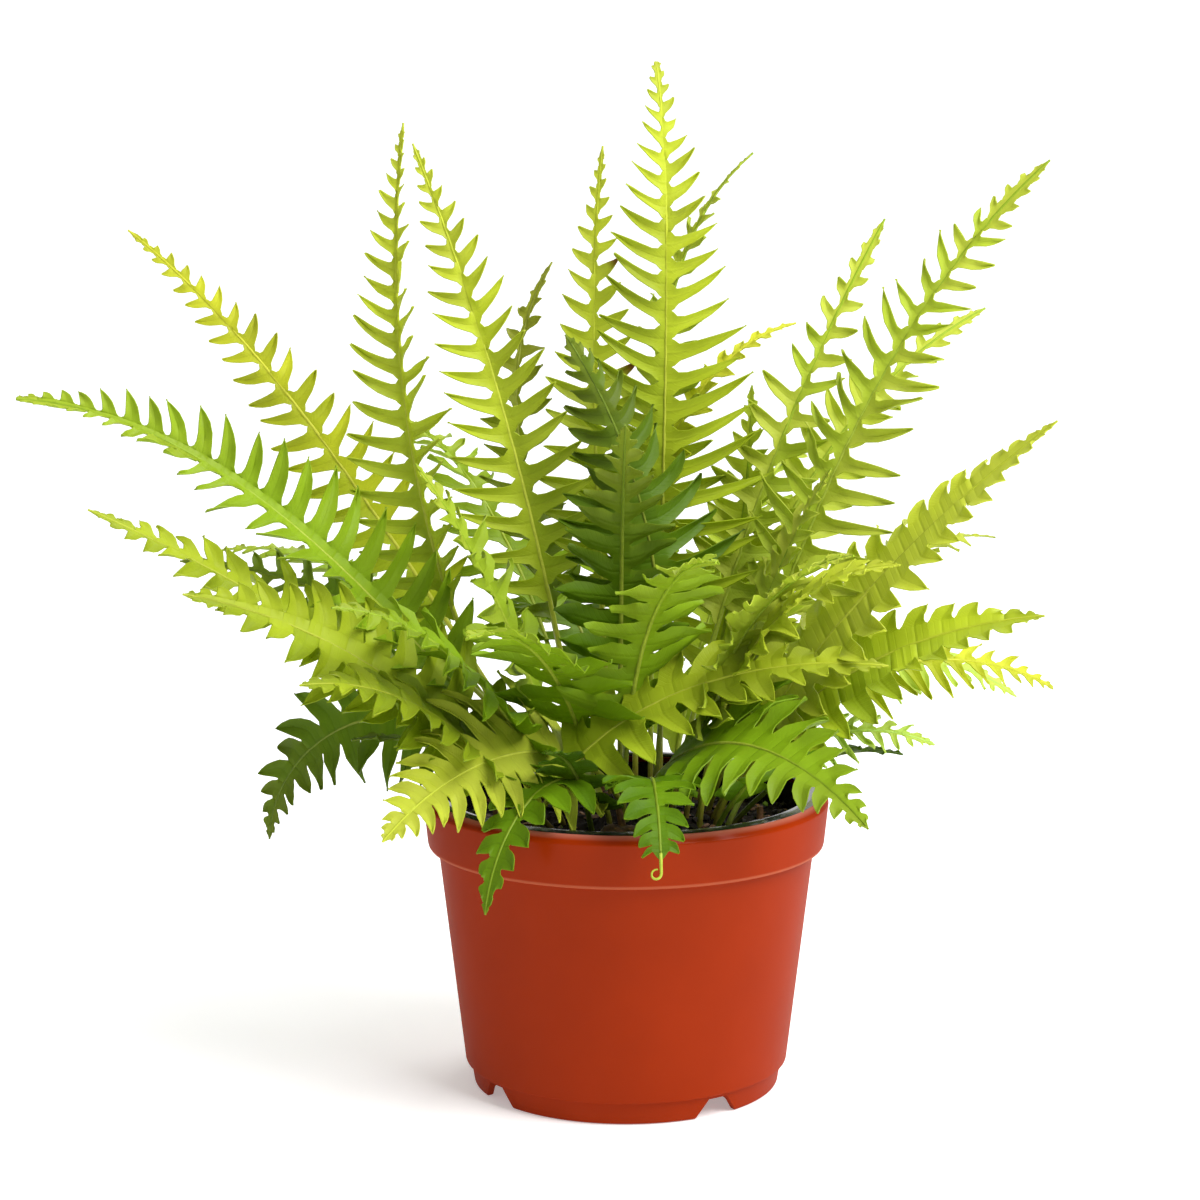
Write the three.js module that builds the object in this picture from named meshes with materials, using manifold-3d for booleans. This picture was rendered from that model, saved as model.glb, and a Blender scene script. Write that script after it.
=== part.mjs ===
// A potted common polypody fern: a stepped plastic pot, the soil in it, creeping rhizomes half sunk
// in the soil, and fronds. Each frond is a thin arched blade cut to lobes, on a stipe that stands in
// a hole in the soil. Millimetres, +Z up. The plant's front faces -Y, and the origin is the middle of
// the underside of its box.

import * as THREE from "three";
import { mergeVertices } from "three/addons/utils/BufferGeometryUtils.js";
import Module from "manifold-3d";

const wasm = await Module();
wasm.setup();

// Driving dimensions of the pot: a wide collar on a tapering body, with a turned-in lip at the top
// and a foot ring that is notched at four places
const RIM_R = 65;
const POT_H = 95;
const LIP_BEVEL = 2.4;
const LIP_DROP = 0.4;
const FLANGE = 4.8;
const COLLAR_H = 14.2;
const COLLAR_R = 63.2;
const BODY_R = 60.4;
const BODY_FOOT_R = 52;
const FOOT_R = 49.2;
const FOOT_FLARE = 1.2;
const FOOT_RING_W = 2.3;
const FOOT_H = 7.3;
const WALL = 1.4;
const FLOOR_T = 3.4;
const NOTCH_W = 17;
const NOTCH_TOP_W = 7;
const NOTCH_H = 6;
const NOTCH_AZIMUTHS = [-55, -145, 35, 125];
const DRAIN_R = 4.5;
const DRAIN_OUT = 34;
const POT_SIDES = 30;

// Driving dimensions of the soil and what lies in it
const SOIL_Z = 82;
const SOIL_MOUND = 7.5;
const MOUND_SPREAD = 30;
const LUMP = 0.9;
const CLEAR = 0.35;
const RHIZOME_R = 4;
const RHIZOME_RISE = 1;
const RHIZOME_SIDES = 7;
const STUB_R = 1.3;
const STUB_SIDES = 5;
const HOLE_R = 1.95;
const HOLE_DEPTH = 7.5;
const HOLE_SIDES = 4;

// Driving dimensions of every frond
const STIPE_R = 1;
const TIP_R = 0.5;
const BLADE_T = 0.8;
const CURVE_STEPS = 60;
const LAST_NOTCH = 0.985;
const PITCH_POWER = 1.25;
const TAPER_POWER = 1.5;
const SHOULDER = 0.8;
const SHOULDER_END = 0.2;
const LOBE_SWEEP = 80;
const TIP_SWEEP = 56;
const WING_SHARE = 0.15;
const BELLY_OUT = 0.52;
const SLIM_FROM = 0.55;

// What a lobe tries when another piece is in its way: other bends in degrees, then shorter lengths
const BENDS = [0, 12, -12, 24, -24, 38, -38, 52, -52];
const LENGTHS = [1, 0.8, 0.6, 0.42, 0.28];
const SPINE_ROOM = 0.25;
const LOBE_ROOM = 0.3;
const TIP_ROOM = 0.5;

// Leaf colours, from the youngest fronds to the oldest
const TONES = {
  pale: "#a9cf6a",
  yellow: "#c9d62f",
  young: "#a8c52c",
  mid: "#7aa52a",
  olive: "#7f8a2c",
  dark: "#4d7224",
};

const rad = THREE.MathUtils.degToRad;

// Joining and cutting

function solidOf(geometry) {
  const bare = geometry.clone();
  bare.deleteAttribute("normal");
  bare.deleteAttribute("uv");
  const merged = mergeVertices(bare, 1e-4);
  return new wasm.Manifold(
    new wasm.Mesh({
      numProp: 3,
      vertProperties: new Float32Array(merged.attributes.position.array),
      triVerts: new Uint32Array(merged.index.array),
    }),
  );
}

function geometryOf(solid) {
  const mesh = solid.getMesh();
  const geometry = new THREE.BufferGeometry();
  geometry.setAttribute("position", new THREE.BufferAttribute(mesh.vertProperties, 3));
  geometry.setIndex(new THREE.BufferAttribute(mesh.triVerts, 1));
  geometry.computeVertexNormals();
  return geometry;
}

function lathe(profile) {
  const points = profile.map(([r, z]) => new THREE.Vector2(r, z));
  const geometry = new THREE.LatheGeometry(points, POT_SIDES);
  geometry.rotateX(Math.PI / 2);
  return geometry;
}

// Pot

const rimEdgeZ = POT_H - LIP_BEVEL - LIP_DROP;
const collarZ = rimEdgeZ - COLLAR_H;
const flangeR = RIM_R - LIP_BEVEL;
const floorZ = FOOT_H + WALL;

// Radius of the body's inner wall
function wallRadius(z) {
  const share = (z - FOOT_H) / (collarZ - FOOT_H);
  return THREE.MathUtils.lerp(BODY_FOOT_R, BODY_R, share) - WALL;
}

// The profile runs from the middle of the underside round the outside to the middle of the floor
function potGeometry() {
  const undersideZ = floorZ - FLOOR_T;
  const profile = [
    [0, undersideZ],
    [FOOT_R - 2 * FOOT_RING_W, undersideZ],
    [FOOT_R - FOOT_RING_W + 0.4 * WALL, undersideZ - WALL],
    [FOOT_R - FOOT_RING_W, 0],
    [FOOT_R, 0],
    [FOOT_R + FOOT_FLARE, FOOT_H],
    [BODY_FOOT_R, FOOT_H],
    [BODY_R, collarZ],
    [COLLAR_R, collarZ],
    [COLLAR_R + 0.3 * WALL, collarZ + 0.7 * WALL],
    [RIM_R, rimEdgeZ],
    [flangeR, POT_H - LIP_DROP],
    [flangeR - 0.6 * FLANGE, POT_H],
    [flangeR - FLANGE, POT_H - 0.5 * LIP_DROP],
    [flangeR - FLANGE, POT_H - WALL],
    [RIM_R - 2 * WALL, rimEdgeZ - 0.7 * WALL],
    [COLLAR_R - 0.9 * WALL, collarZ + WALL],
    [wallRadius(collarZ), collarZ - WALL],
    [wallRadius(floorZ) - 0.7 * WALL, floorZ],
    [0, floorZ],
  ];
  let pot = solidOf(lathe(profile));
  for (const azimuth of NOTCH_AZIMUTHS) {
    pot = pot.subtract(notch(azimuth)).subtract(drain(azimuth));
  }
  return geometryOf(pot);
}

// A tapering slot through the foot ring, open at the bottom
function notch(azimuth) {
  const outline = new THREE.Shape();
  outline.moveTo(-NOTCH_W / 2, -1);
  outline.lineTo(NOTCH_W / 2, -1);
  outline.lineTo(NOTCH_TOP_W / 2, NOTCH_H);
  outline.lineTo(-NOTCH_TOP_W / 2, NOTCH_H);
  outline.closePath();
  const depth = 6 * FOOT_RING_W;
  const geometry = new THREE.ExtrudeGeometry(outline, { depth, bevelEnabled: false });
  geometry.rotateX(Math.PI / 2);
  geometry.translate(0, 0.6 * depth - FOOT_R, 0);
  geometry.rotateZ(rad(azimuth + 90));
  return solidOf(geometry);
}

// A round hole through the floor, halfway between two notches
function drain(azimuth) {
  const geometry = new THREE.CylinderGeometry(DRAIN_R, DRAIN_R, 4 * FOOT_H, 8);
  geometry.rotateX(Math.PI / 2);
  geometry.translate(DRAIN_OUT, 0, 0);
  geometry.rotateZ(rad(azimuth + 45));
  return solidOf(geometry);
}

// Soil

function soilHeight(x, y) {
  const mound = SOIL_MOUND * Math.exp((-x * x - y * y) / (2 * MOUND_SPREAD ** 2));
  const lumps = Math.sin(0.21 * x + 0.6) * Math.cos(0.17 * y) + 0.6 * Math.sin(0.43 * y - 0.31 * x);
  return SOIL_Z + mound + LUMP * lumps;
}

// The soil fills the pot to a little under its rim, and is cut by all that stands or lies in it
function soilGeometry(cuts) {
  const edge = COLLAR_R - 2 * WALL;
  const baseZ = floorZ + CLEAR;
  const profile = [
    [0, baseZ],
    [wallRadius(floorZ) - WALL - CLEAR, baseZ],
    [wallRadius(collarZ) - 2 * CLEAR, collarZ - 2 * WALL],
    [edge, collarZ + WALL + 2 * CLEAR],
    [edge, SOIL_Z],
    [0.72 * edge, SOIL_Z],
    [0.35 * edge, SOIL_Z],
    [0, SOIL_Z],
  ];
  const geometry = lathe(profile);
  const place = geometry.attributes.position;
  for (let i = 0; i < place.count; i++) {
    if (place.getZ(i) > SOIL_Z - 0.5) {
      place.setZ(i, soilHeight(place.getX(i), place.getY(i)));
    }
  }
  let soil = solidOf(geometry);
  for (const cut of cuts) {
    soil = soil.subtract(cut);
  }
  return geometryOf(soil);
}

// Rhizomes: thick stems that creep half sunk in the soil, with the stubs of old stipes on them.
// Each has its middle, heading, dip and length, and where its stubs stand along it.

const RHIZOMES = [
  { at: [5, -37], heading: 14, dip: -8, length: 27, stubs: [-7, 3] },
  { at: [41, -21], heading: 68, dip: 6, length: 24, stubs: [2] },
  { at: [-40, -16], heading: 118, dip: -6, length: 26, stubs: [-4, 5] },
  { at: [-18, 43], heading: 24, dip: 5, length: 28, stubs: [-5, 6] },
];

function rhizomeGeometry({ at, heading, dip, length, stubs }, grow) {
  const half = length / 2 + grow;
  const r = RHIZOME_R + grow;
  const profile = [
    [0, -half],
    [0.7 * r, -0.88 * half],
    [0.95 * r, -0.5 * half],
    [0.82 * r, 0],
    [r, 0.45 * half],
    [0.72 * r, 0.85 * half],
    [0, half],
  ];
  const points = profile.map(([out, along]) => new THREE.Vector2(out, along));
  const stem = new THREE.LatheGeometry(points, RHIZOME_SIDES);
  let solid = solidOf(stem);
  for (const along of stubs) {
    const stub = new THREE.CylinderGeometry(0.7 * STUB_R, STUB_R, 2 * RHIZOME_R, STUB_SIDES);
    stub.rotateX(Math.PI / 2 + 0.05 * along);
    stub.translate(0.3 * along, along, 1.2 * RHIZOME_R);
    solid = solid.add(solidOf(stub));
  }
  const geometry = geometryOf(solid);
  geometry.rotateX(rad(dip));
  geometry.rotateZ(rad(heading - 90));
  geometry.translate(at[0], at[1], soilHeight(...at) + RHIZOME_RISE);
  return geometry;
}

// The line of a frond: it leaves its base at a heading and a lift, droops and turns on its way

class FrondLine extends THREE.Curve {
  constructor(frond) {
    super();
    this.frond = frond;
    const [x, y] = frond.at;
    this.marks = [new THREE.Vector3(x, y, soilHeight(x, y))];
    for (let i = 0; i < CURVE_STEPS; i++) {
      const ahead = this.direction((i + 0.5) / CURVE_STEPS).multiplyScalar(frond.length / CURVE_STEPS);
      this.marks.push(this.marks[i].clone().add(ahead));
    }
  }

  angles(s) {
    const { heading, lift, droop, power, side = 0 } = this.frond;
    const u = THREE.MathUtils.clamp(s, 0, 1);
    return [rad(heading + side * u * u), rad(lift - droop * u ** power)];
  }

  direction(s) {
    const [h, e] = this.angles(s);
    return new THREE.Vector3(Math.cos(e) * Math.cos(h), Math.cos(e) * Math.sin(h), Math.sin(e));
  }

  getPoint(s) {
    const { length } = this.frond;
    if (s < 0) {
      return this.marks[0].clone().addScaledVector(this.direction(0), s * length);
    }
    if (s > 1) {
      return this.marks[CURVE_STEPS].clone().addScaledVector(this.direction(1), (s - 1) * length);
    }
    const at = Math.min(s * CURVE_STEPS, CURVE_STEPS - 1e-6);
    const i = Math.floor(at);
    return this.marks[i].clone().lerp(this.marks[i + 1], at - i);
  }

  // The blade's own across and upward directions, turned about the line by its roll
  frame(s) {
    const [h, e] = this.angles(s);
    const across = new THREE.Vector3(-Math.sin(h), Math.cos(h), 0);
    const up = new THREE.Vector3(-Math.sin(e) * Math.cos(h), -Math.sin(e) * Math.sin(h), Math.cos(e));
    const turn = rad(this.frond.roll ?? 0);
    const b = across.clone().multiplyScalar(Math.cos(turn)).addScaledVector(up, Math.sin(turn));
    const n = up.clone().multiplyScalar(Math.cos(turn)).addScaledVector(across, -Math.sin(turn));
    return [b, n];
  }
}

// The blade: where its lobes stand along the line, and how long and how folded they are

class Blade {
  constructor(frond) {
    this.frond = frond;
    this.line = new FrondLine(frond);
    this.start = frond.bare;
    const n = frond.pairs;
    this.marks = [];
    for (let i = 0; i <= n; i++) {
      this.marks.push(this.start + (LAST_NOTCH - this.start) * (1 - (1 - i / n) ** PITCH_POWER));
    }
  }

  // Lobes on the right side stand half a pitch further on than those on the left
  mark(i, side) {
    const { pairs } = this.frond;
    if (side > 0 || i >= pairs) {
      return this.marks[Math.min(i, pairs)];
    }
    return 0.5 * (this.marks[i] + this.marks[i + 1]);
  }

  share(s) {
    return THREE.MathUtils.clamp((s - this.start) / (1 - this.start), 0, 1);
  }

  // How long a lobe is: a little short at the foot of the blade, then tapering to its tip
  reach(s) {
    const share = this.share(s);
    const shoulder = THREE.MathUtils.lerp(SHOULDER, 1, Math.min(1, share / SHOULDER_END));
    return this.frond.width * shoulder * (1 - share ** TAPER_POWER);
  }

  // Half the width of the leaf that runs unbroken along the middle
  wing(s) {
    return s < this.start ? STIPE_R : Math.max(TIP_R, WING_SHARE * this.reach(s));
  }

  keel(s) {
    return THREE.MathUtils.lerp(STIPE_R, TIP_R, THREE.MathUtils.clamp(s, 0, 1));
  }

  // A point of the blade: s along the line, u out to one side, rise off its middle surface.
  // The wing along the middle is flat, and what reaches past it folds by the frond's fold and bend.
  place(s, side, u, rise, bend = 0) {
    const [b, n] = this.line.frame(s);
    const root = Math.min(u, this.wing(s));
    const fold = u > root ? rad((this.frond.fold ?? 0) + bend) : 0;
    const across = root + (u - root) * Math.cos(fold) - rise * Math.sin(fold);
    const up = (u - root) * Math.sin(fold) + rise * Math.cos(fold);
    return this.line.getPoint(s).addScaledVector(b, side * across).addScaledVector(n, up);
  }

  // Corners of lobe i on one side: its near notch, the belly of its lower edge, its tip, its far notch
  lobe(i, side, share, bend, thick, grown = 0) {
    const { length } = this.frond;
    const near = this.mark(i, side);
    const far = this.mark(i + 1, side);
    const middle = 0.5 * (near + far);
    const pitch = far - near;
    const long = share * this.reach(middle) + grown;
    const sweep = rad(THREE.MathUtils.lerp(LOBE_SWEEP, TIP_SWEEP, this.share(middle)));
    const wing = this.wing(middle);
    const ahead = (long * Math.cos(sweep)) / length;
    const belly = [middle + 0.45 * ahead - 0.4 * pitch, wing + BELLY_OUT * long * Math.sin(sweep)];
    const tip = [middle + 1.25 * ahead, wing + long * Math.sin(sweep)];
    const corners = [[near, this.wing(near)], belly, tip, [far, this.wing(far)]];
    if (i > SLIM_FROM * this.frond.pairs) {
      corners.splice(1, 1);
    }
    return corners.map(([s, u]) => [thick, -thick].map((rise) => this.place(s, side, u, rise, bend)));
  }
}

// Faces gathered as triangles of points, turned outwards at the end

class Faces {
  constructor() {
    this.points = [];
  }

  triangle(...corners) {
    this.points.push(...corners);
  }

  quad(a, b, c, d) {
    this.triangle(a, b, c);
    this.triangle(a, c, d);
  }

  geometry() {
    const geometry = new THREE.BufferGeometry().setFromPoints(this.points);
    const merged = mergeVertices(geometry, 1e-4);
    let volume = 0;
    const index = merged.index.array;
    const [a, b, c] = [new THREE.Vector3(), new THREE.Vector3(), new THREE.Vector3()];
    for (let i = 0; i < index.length; i += 3) {
      a.fromBufferAttribute(merged.attributes.position, index[i]);
      b.fromBufferAttribute(merged.attributes.position, index[i + 1]);
      c.fromBufferAttribute(merged.attributes.position, index[i + 2]);
      volume += a.dot(b.cross(c));
    }
    if (volume < 0) {
      for (let i = 0; i < index.length; i += 3) {
        [index[i], index[i + 1]] = [index[i + 1], index[i]];
      }
    }
    merged.computeVertexNormals();
    return merged;
  }
}

// Top, bottom and margin of one lobe, open along its root where it is joined to its blade
function addLobe(faces, corners, side, closed) {
  const far = corners.at(-1);
  const add = (a, b, c) => (side > 0 ? faces.triangle(a, b, c) : faces.triangle(c, b, a));
  const wall = (a, b) => {
    add(a[0], b[0], b[1]);
    add(a[0], b[1], a[1]);
  };
  for (let k = 0; k < corners.length - 1; k++) {
    const [here, next] = [corners[k], corners[k + 1]];
    wall(here, next);
    if (next !== far) {
      add(here[0], far[0], next[0]);
      add(here[1], next[1], far[1]);
    }
  }
  if (closed) {
    wall(far, corners[0]);
  }
}

// Rings of five points along the stipe and the middle of the blade, from a ridge on top, and how
// many of them are below the first lobes
function spineRings(blade, extra = 0) {
  const { frond, start } = blade;
  const sunk = (1 - HOLE_DEPTH) / frond.length;
  const stipe = [sunk, 0.03, 0.4 * start, 0.75 * start];
  const rings = stipe.map((s) => stipeRing(blade, s, STIPE_R + extra));
  for (let i = 0; i <= frond.pairs; i++) {
    rings.push(wingRing(blade, blade.mark(i, 1), blade.mark(i, -1), extra));
  }
  return [rings, stipe.length];
}

function stipeRing(blade, s, radius) {
  const [b, n] = blade.line.frame(s);
  return [0, 1, 2, 3, 4].map((k) => {
    const turn = rad(90 - 72 * k);
    const point = blade.line.getPoint(s).addScaledVector(n, radius * Math.sin(turn));
    return point.addScaledVector(b, radius * Math.cos(turn));
  });
}

function wingRing(blade, left, right, extra) {
  const half = 0.5 * BLADE_T + extra;
  const [, n] = blade.line.frame(left);
  const ridge = blade.line.getPoint(left).addScaledVector(n, blade.keel(left) + extra);
  return [
    ridge,
    blade.place(left, 1, blade.wing(left), half),
    blade.place(left, 1, blade.wing(left), -half),
    blade.place(right, -1, blade.wing(right), -half),
    blade.place(right, -1, blade.wing(right), half),
  ];
}

// Skin over the rings, left open where open(ring, side) says that a lobe is joined on
function skinRings(faces, rings, open) {
  const sides = rings[0].length;
  for (let r = 0; r < rings.length - 1; r++) {
    for (let k = 0; k < sides; k++) {
      const side = { 1: 1, 3: -1 }[k];
      if (side && open(r, side)) {
        continue;
      }
      const next = (k + 1) % sides;
      faces.quad(rings[r][k], rings[r + 1][k], rings[r + 1][next], rings[r][next]);
    }
  }
  const [first, last] = [rings[0], rings.at(-1)];
  for (let k = 1; k < sides - 1; k++) {
    faces.triangle(first[0], first[k], first[k + 1]);
    faces.triangle(last[0], last[k + 1], last[k]);
  }
}

// The frond's whole surface; lobes is a list of [i, side, share, bend]
function frondGeometry(blade, lobes) {
  const faces = new Faces();
  const [rings, stipes] = spineRings(blade);
  const grown = new Set(lobes.map(([i, side]) => `${i} ${side}`));
  skinRings(faces, rings, (r, side) => grown.has(`${r - stipes} ${side}`));
  for (const [i, side, share, bend] of lobes) {
    addLobe(faces, blade.lobe(i, side, share, bend, 0.5 * BLADE_T), side, false);
  }
  return faces.geometry();
}

// Solids that are only used to find out whether a lobe has room

function roomOf(geometry) {
  geometry.computeBoundingBox();
  return { box: geometry.boundingBox, solid: solidOf(geometry) };
}

function spineRoom(blade) {
  const faces = new Faces();
  const [rings] = spineRings(blade, SPINE_ROOM);
  skinRings(faces, rings, () => false);
  return roomOf(faces.geometry());
}

function lobeRoom(blade, i, side, share, bend) {
  const faces = new Faces();
  const corners = blade.lobe(i, side, share, bend, 0.5 * BLADE_T + LOBE_ROOM, TIP_ROOM);
  addLobe(faces, corners, side, true);
  return roomOf(faces.geometry());
}

function meets(a, b) {
  return a.box.intersectsBox(b.box) && a.solid.intersect(b.solid).volume() > 1e-4;
}

// Each lobe folds up or down until it has room, and in a crowd it stays shorter
function growLobes(blades, fixed) {
  const taken = blades.map((blade) => [spineRoom(blade)]);
  return blades.map((blade, own) => {
    const lobes = [];
    const near = [...fixed, ...taken.filter((_, k) => k !== own).flat()];
    for (let i = 0; i < blade.frond.pairs; i++) {
      for (const side of [1, -1]) {
        const found = firstRoom(blade, i, side, near);
        if (found) {
          lobes.push([i, side, found.share, found.bend]);
          taken[own].push(found.room);
        }
      }
    }
    return lobes;
  });
}

function firstRoom(blade, i, side, near) {
  for (const share of LENGTHS) {
    for (const bend of BENDS) {
      const room = lobeRoom(blade, i, side, share, bend);
      if (!near.some((other) => meets(room, other))) {
        return { share, bend, room };
      }
    }
  }
  return null;
}

// Fronds

// The base's place, heading, lift and droop in degrees, length, lobe length, and what else differs:
// pairs of lobes, the bare share of the length, the droop's power, the heading's turn to the side,
// the blade's roll and the lobes' fold in degrees, and the leaf's tone
function frond(at, heading, lift, droop, length, width, rest) {
  return { at, heading, lift, droop, length, width, pairs: 10, bare: 0.3, power: 1.5, ...rest };
}

const FRONDS = [
  // standing up from the middle
  frond([11, 7], 66, 90, 16, 243, 34, { side: 50, pairs: 17, bare: 0.24, tone: "young" }),
  frond([-24, 3], 180, 55, -42, 228, 25, { power: 0.8, roll: -125, fold: 34, pairs: 16, tone: "young" }),
  frond([-12, 10], 158, 79, 13, 221, 25, { roll: -70, fold: 8, pairs: 14, tone: "young" }),
  frond([-13, 21], 160, 80, 25, 186, 20, { side: -130, tone: "olive" }),
  frond([-5, 18], 120, 85, 8, 214, 21, { side: -60, pairs: 13, tone: "young" }),
  frond([8, 24], 80, 89, 50, 220, 25, { power: 4, side: -80, pairs: 13, tone: "mid" }),
  frond([8, -6], 185, 98, 42, 158, 32, { power: 1.3, fold: -28, roll: -85, bare: 0.36, tone: "dark" }),
  // leaning right
  frond([15, 5], 22, 78, 19, 204, 21, { power: 1, roll: 60, pairs: 12, tone: "mid" }),
  frond([26, 1], -9, 72, 30, 237, 27, { power: 2.4, roll: 66, pairs: 16, tone: "mid" }),
  frond([3, 14], 15, 90, 80, 178, 14, { power: 3, roll: 20, bare: 0.45, tone: "yellow" }),
  frond([18, 14], 28, 72, -18, 138, 20, { roll: 40, tone: "mid" }),
  frond([24, 9], 24, 79, 56, 199, 21, { roll: 50, pairs: 12, tone: "mid" }),
  frond([28, -6], -16, 66, 28, 170, 30, { power: 0.8, roll: 30, pairs: 13, bare: 0.2, tone: "young" }),
  frond([28, -14], -12, 76, 70, 132, 29, { power: 0.7, roll: 30, bare: 0.2, tone: "young" }),
  frond([33, 3], 4, 71, 102, 130, 21, { power: 1, roll: 40, tone: "yellow" }),
  frond([26, 18], 16, 68, 106, 132, 21, { power: 1, roll: 40, tone: "pale" }),
  frond([31, -21], -8, 74, 98, 82, 18, { power: 1, roll: 30, pairs: 8, tone: "pale" }),
  // over the front of the rim
  frond([4, -12], -54, 78, 110, 127, 31, { power: 0.6, roll: 30, bare: 0.2, tone: "mid" }),
  frond([-1, -9], -138, 84, 124, 111, 35, { power: 0.55, roll: -35, pairs: 12, bare: 0.22, tone: "young" }),
  frond([-5, -23], -124, 90, 170, 93, 18, { power: 0.7, bare: 0.24, pairs: 8, tone: "mid" }),
  frond([6, -27], -86, 75, 160, 90, 16, { power: 1, bare: 0.24, pairs: 8, tone: "mid" }),
  // leaning left
  frond([-27, 9], 170, 62, 150, 128, 25, { power: 1.1, roll: -70, tone: "dark" }),
  frond([-28, -6], 197, 50, 24, 176, 29, { power: 0.8, roll: -30, pairs: 13, bare: 0.2, tone: "young" }),
  frond([-24, -16], 200, 50, 38, 144, 31, { roll: -50, fold: 20, pairs: 11, bare: 0.2, tone: "young" }),
  frond([-19, -3], 188, 50, 48, 225, 31, {
    power: 3, roll: -40, fold: 36, pairs: 16, bare: 0.24, tone: "mid",
  }),
  frond([-20, 14], 165, 56, 20, 240, 20, { power: 3, roll: -66, pairs: 15, tone: "yellow" }),
  frond([-22, 21], 156, 62, 64, 170, 21, { power: 0.8, roll: -60, tone: "dark" }),
  // across and towards the front
  frond([-29, -32], -3, 88, 94, 134, 26, { power: 0.55, roll: 30, bare: 0.2, tone: "young" }),
  frond([-9, -4], -112, 68, 70, 128, 29, { power: 1.2, bare: 0.22, tone: "mid" }),
  frond([-1, -19], -66, 86, 84, 126, 28, { power: 1.6, bare: 0.24, tone: "mid" }),
  frond([19, -12], -46, 79, 67, 122, 28, { roll: 20, bare: 0.24, tone: "mid" }),
  frond([-20, -14], -140, 64, 56, 122, 29, { roll: -20, bare: 0.22, tone: "mid" }),
  frond([-26, -24], -148, 58, 60, 106, 27, { roll: -20, bare: 0.22, tone: "young" }),
  frond([23, -21], -30, 84, 80, 122, 27, { roll: 20, bare: 0.24, tone: "young" }),
  frond([-2, 2], -88, 84, 40, 140, 25, { bare: 0.3, tone: "dark" }),
  frond([-17, -8], 200, 74, 20, 126, 24, { roll: -40, bare: 0.24, tone: "mid" }),
  frond([23, -3], -14, 76, 16, 122, 24, { roll: 30, bare: 0.24, tone: "mid" }),
  // young and low ones by the rim
  frond([26, -30], -40, 62, 70, 62, 15, { bare: 0.2, pairs: 6, tone: "mid" }),
  frond([-10, -33], -110, 66, 60, 56, 14, { bare: 0.2, pairs: 6, tone: "dark" }),
  frond([33, -12], -20, 50, 60, 66, 16, { bare: 0.2, pairs: 6, tone: "dark" }),
  frond([-34, -4], 200, 52, 60, 66, 16, { bare: 0.2, pairs: 6, tone: "dark" }),
  // behind
  frond([-12, 29], 122, 64, 60, 190, 26, { pairs: 11, tone: "mid" }),
  frond([0, 31], 92, 60, 66, 180, 26, { pairs: 11, tone: "mid" }),
  frond([14, 32], 66, 62, 62, 185, 26, { pairs: 11, tone: "mid" }),
  frond([23, 26], 40, 54, 66, 172, 24, { tone: "dark" }),
  frond([-26, 30], 148, 54, 70, 172, 24, { tone: "mid" }),
  frond([-4, 25], 108, 70, 150, 150, 22, { tone: "dark" }),
  frond([20, 21], 55, 68, 150, 148, 22, { tone: "mid" }),
];

// The whole plant

const plant = new THREE.Group();

function addMesh(name, geometry, color, roughness) {
  const material = new THREE.MeshStandardMaterial({ color, roughness, metalness: 0 });
  const mesh = new THREE.Mesh(geometry, material);
  mesh.name = name;
  plant.add(mesh);
}

// The plain hole in the soil that a frond's stipe stands in
function stipeHole(blade) {
  const aim = blade.line.direction(0);
  const geometry = new THREE.CylinderGeometry(HOLE_R, HOLE_R, 2 * HOLE_DEPTH, HOLE_SIDES);
  geometry.applyQuaternion(new THREE.Quaternion().setFromUnitVectors(new THREE.Vector3(0, 1, 0), aim));
  const middle = blade.line.getPoint(0);
  geometry.translate(middle.x, middle.y, middle.z);
  return solidOf(geometry);
}

const blades = FRONDS.map((frond) => new Blade(frond));
const potMesh = potGeometry();
addMesh("pot", potMesh, "#9a3a1c", 0.45);
const beds = RHIZOMES.map((rhizome) => solidOf(rhizomeGeometry({ ...rhizome, stubs: [] }, CLEAR)));
const soilMesh = soilGeometry([...blades.map(stipeHole), ...beds]);
addMesh("soil", soilMesh, "#241a14", 0.95);
const rhizomeMeshes = RHIZOMES.map((rhizome) => rhizomeGeometry(rhizome, 0));
rhizomeMeshes.forEach((geometry, k) => addMesh(`rhizome_${k + 1}`, geometry, "#6b4526", 0.8));
const grown = growLobes(blades, [potMesh, soilMesh, ...rhizomeMeshes].map(roomOf));
blades.forEach((blade, k) => {
  const name = `frond_${String(k + 1).padStart(2, "0")}`;
  addMesh(name, frondGeometry(blade, grown[k]), TONES[blade.frond.tone], 0.5);
});

const box = new THREE.Box3().setFromObject(plant);
const middle = box.getCenter(new THREE.Vector3());
plant.position.set(-middle.x, -middle.y, -box.min.z);

export default plant;
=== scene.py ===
"""Looks of a potted common polypody fern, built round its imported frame."""

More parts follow.
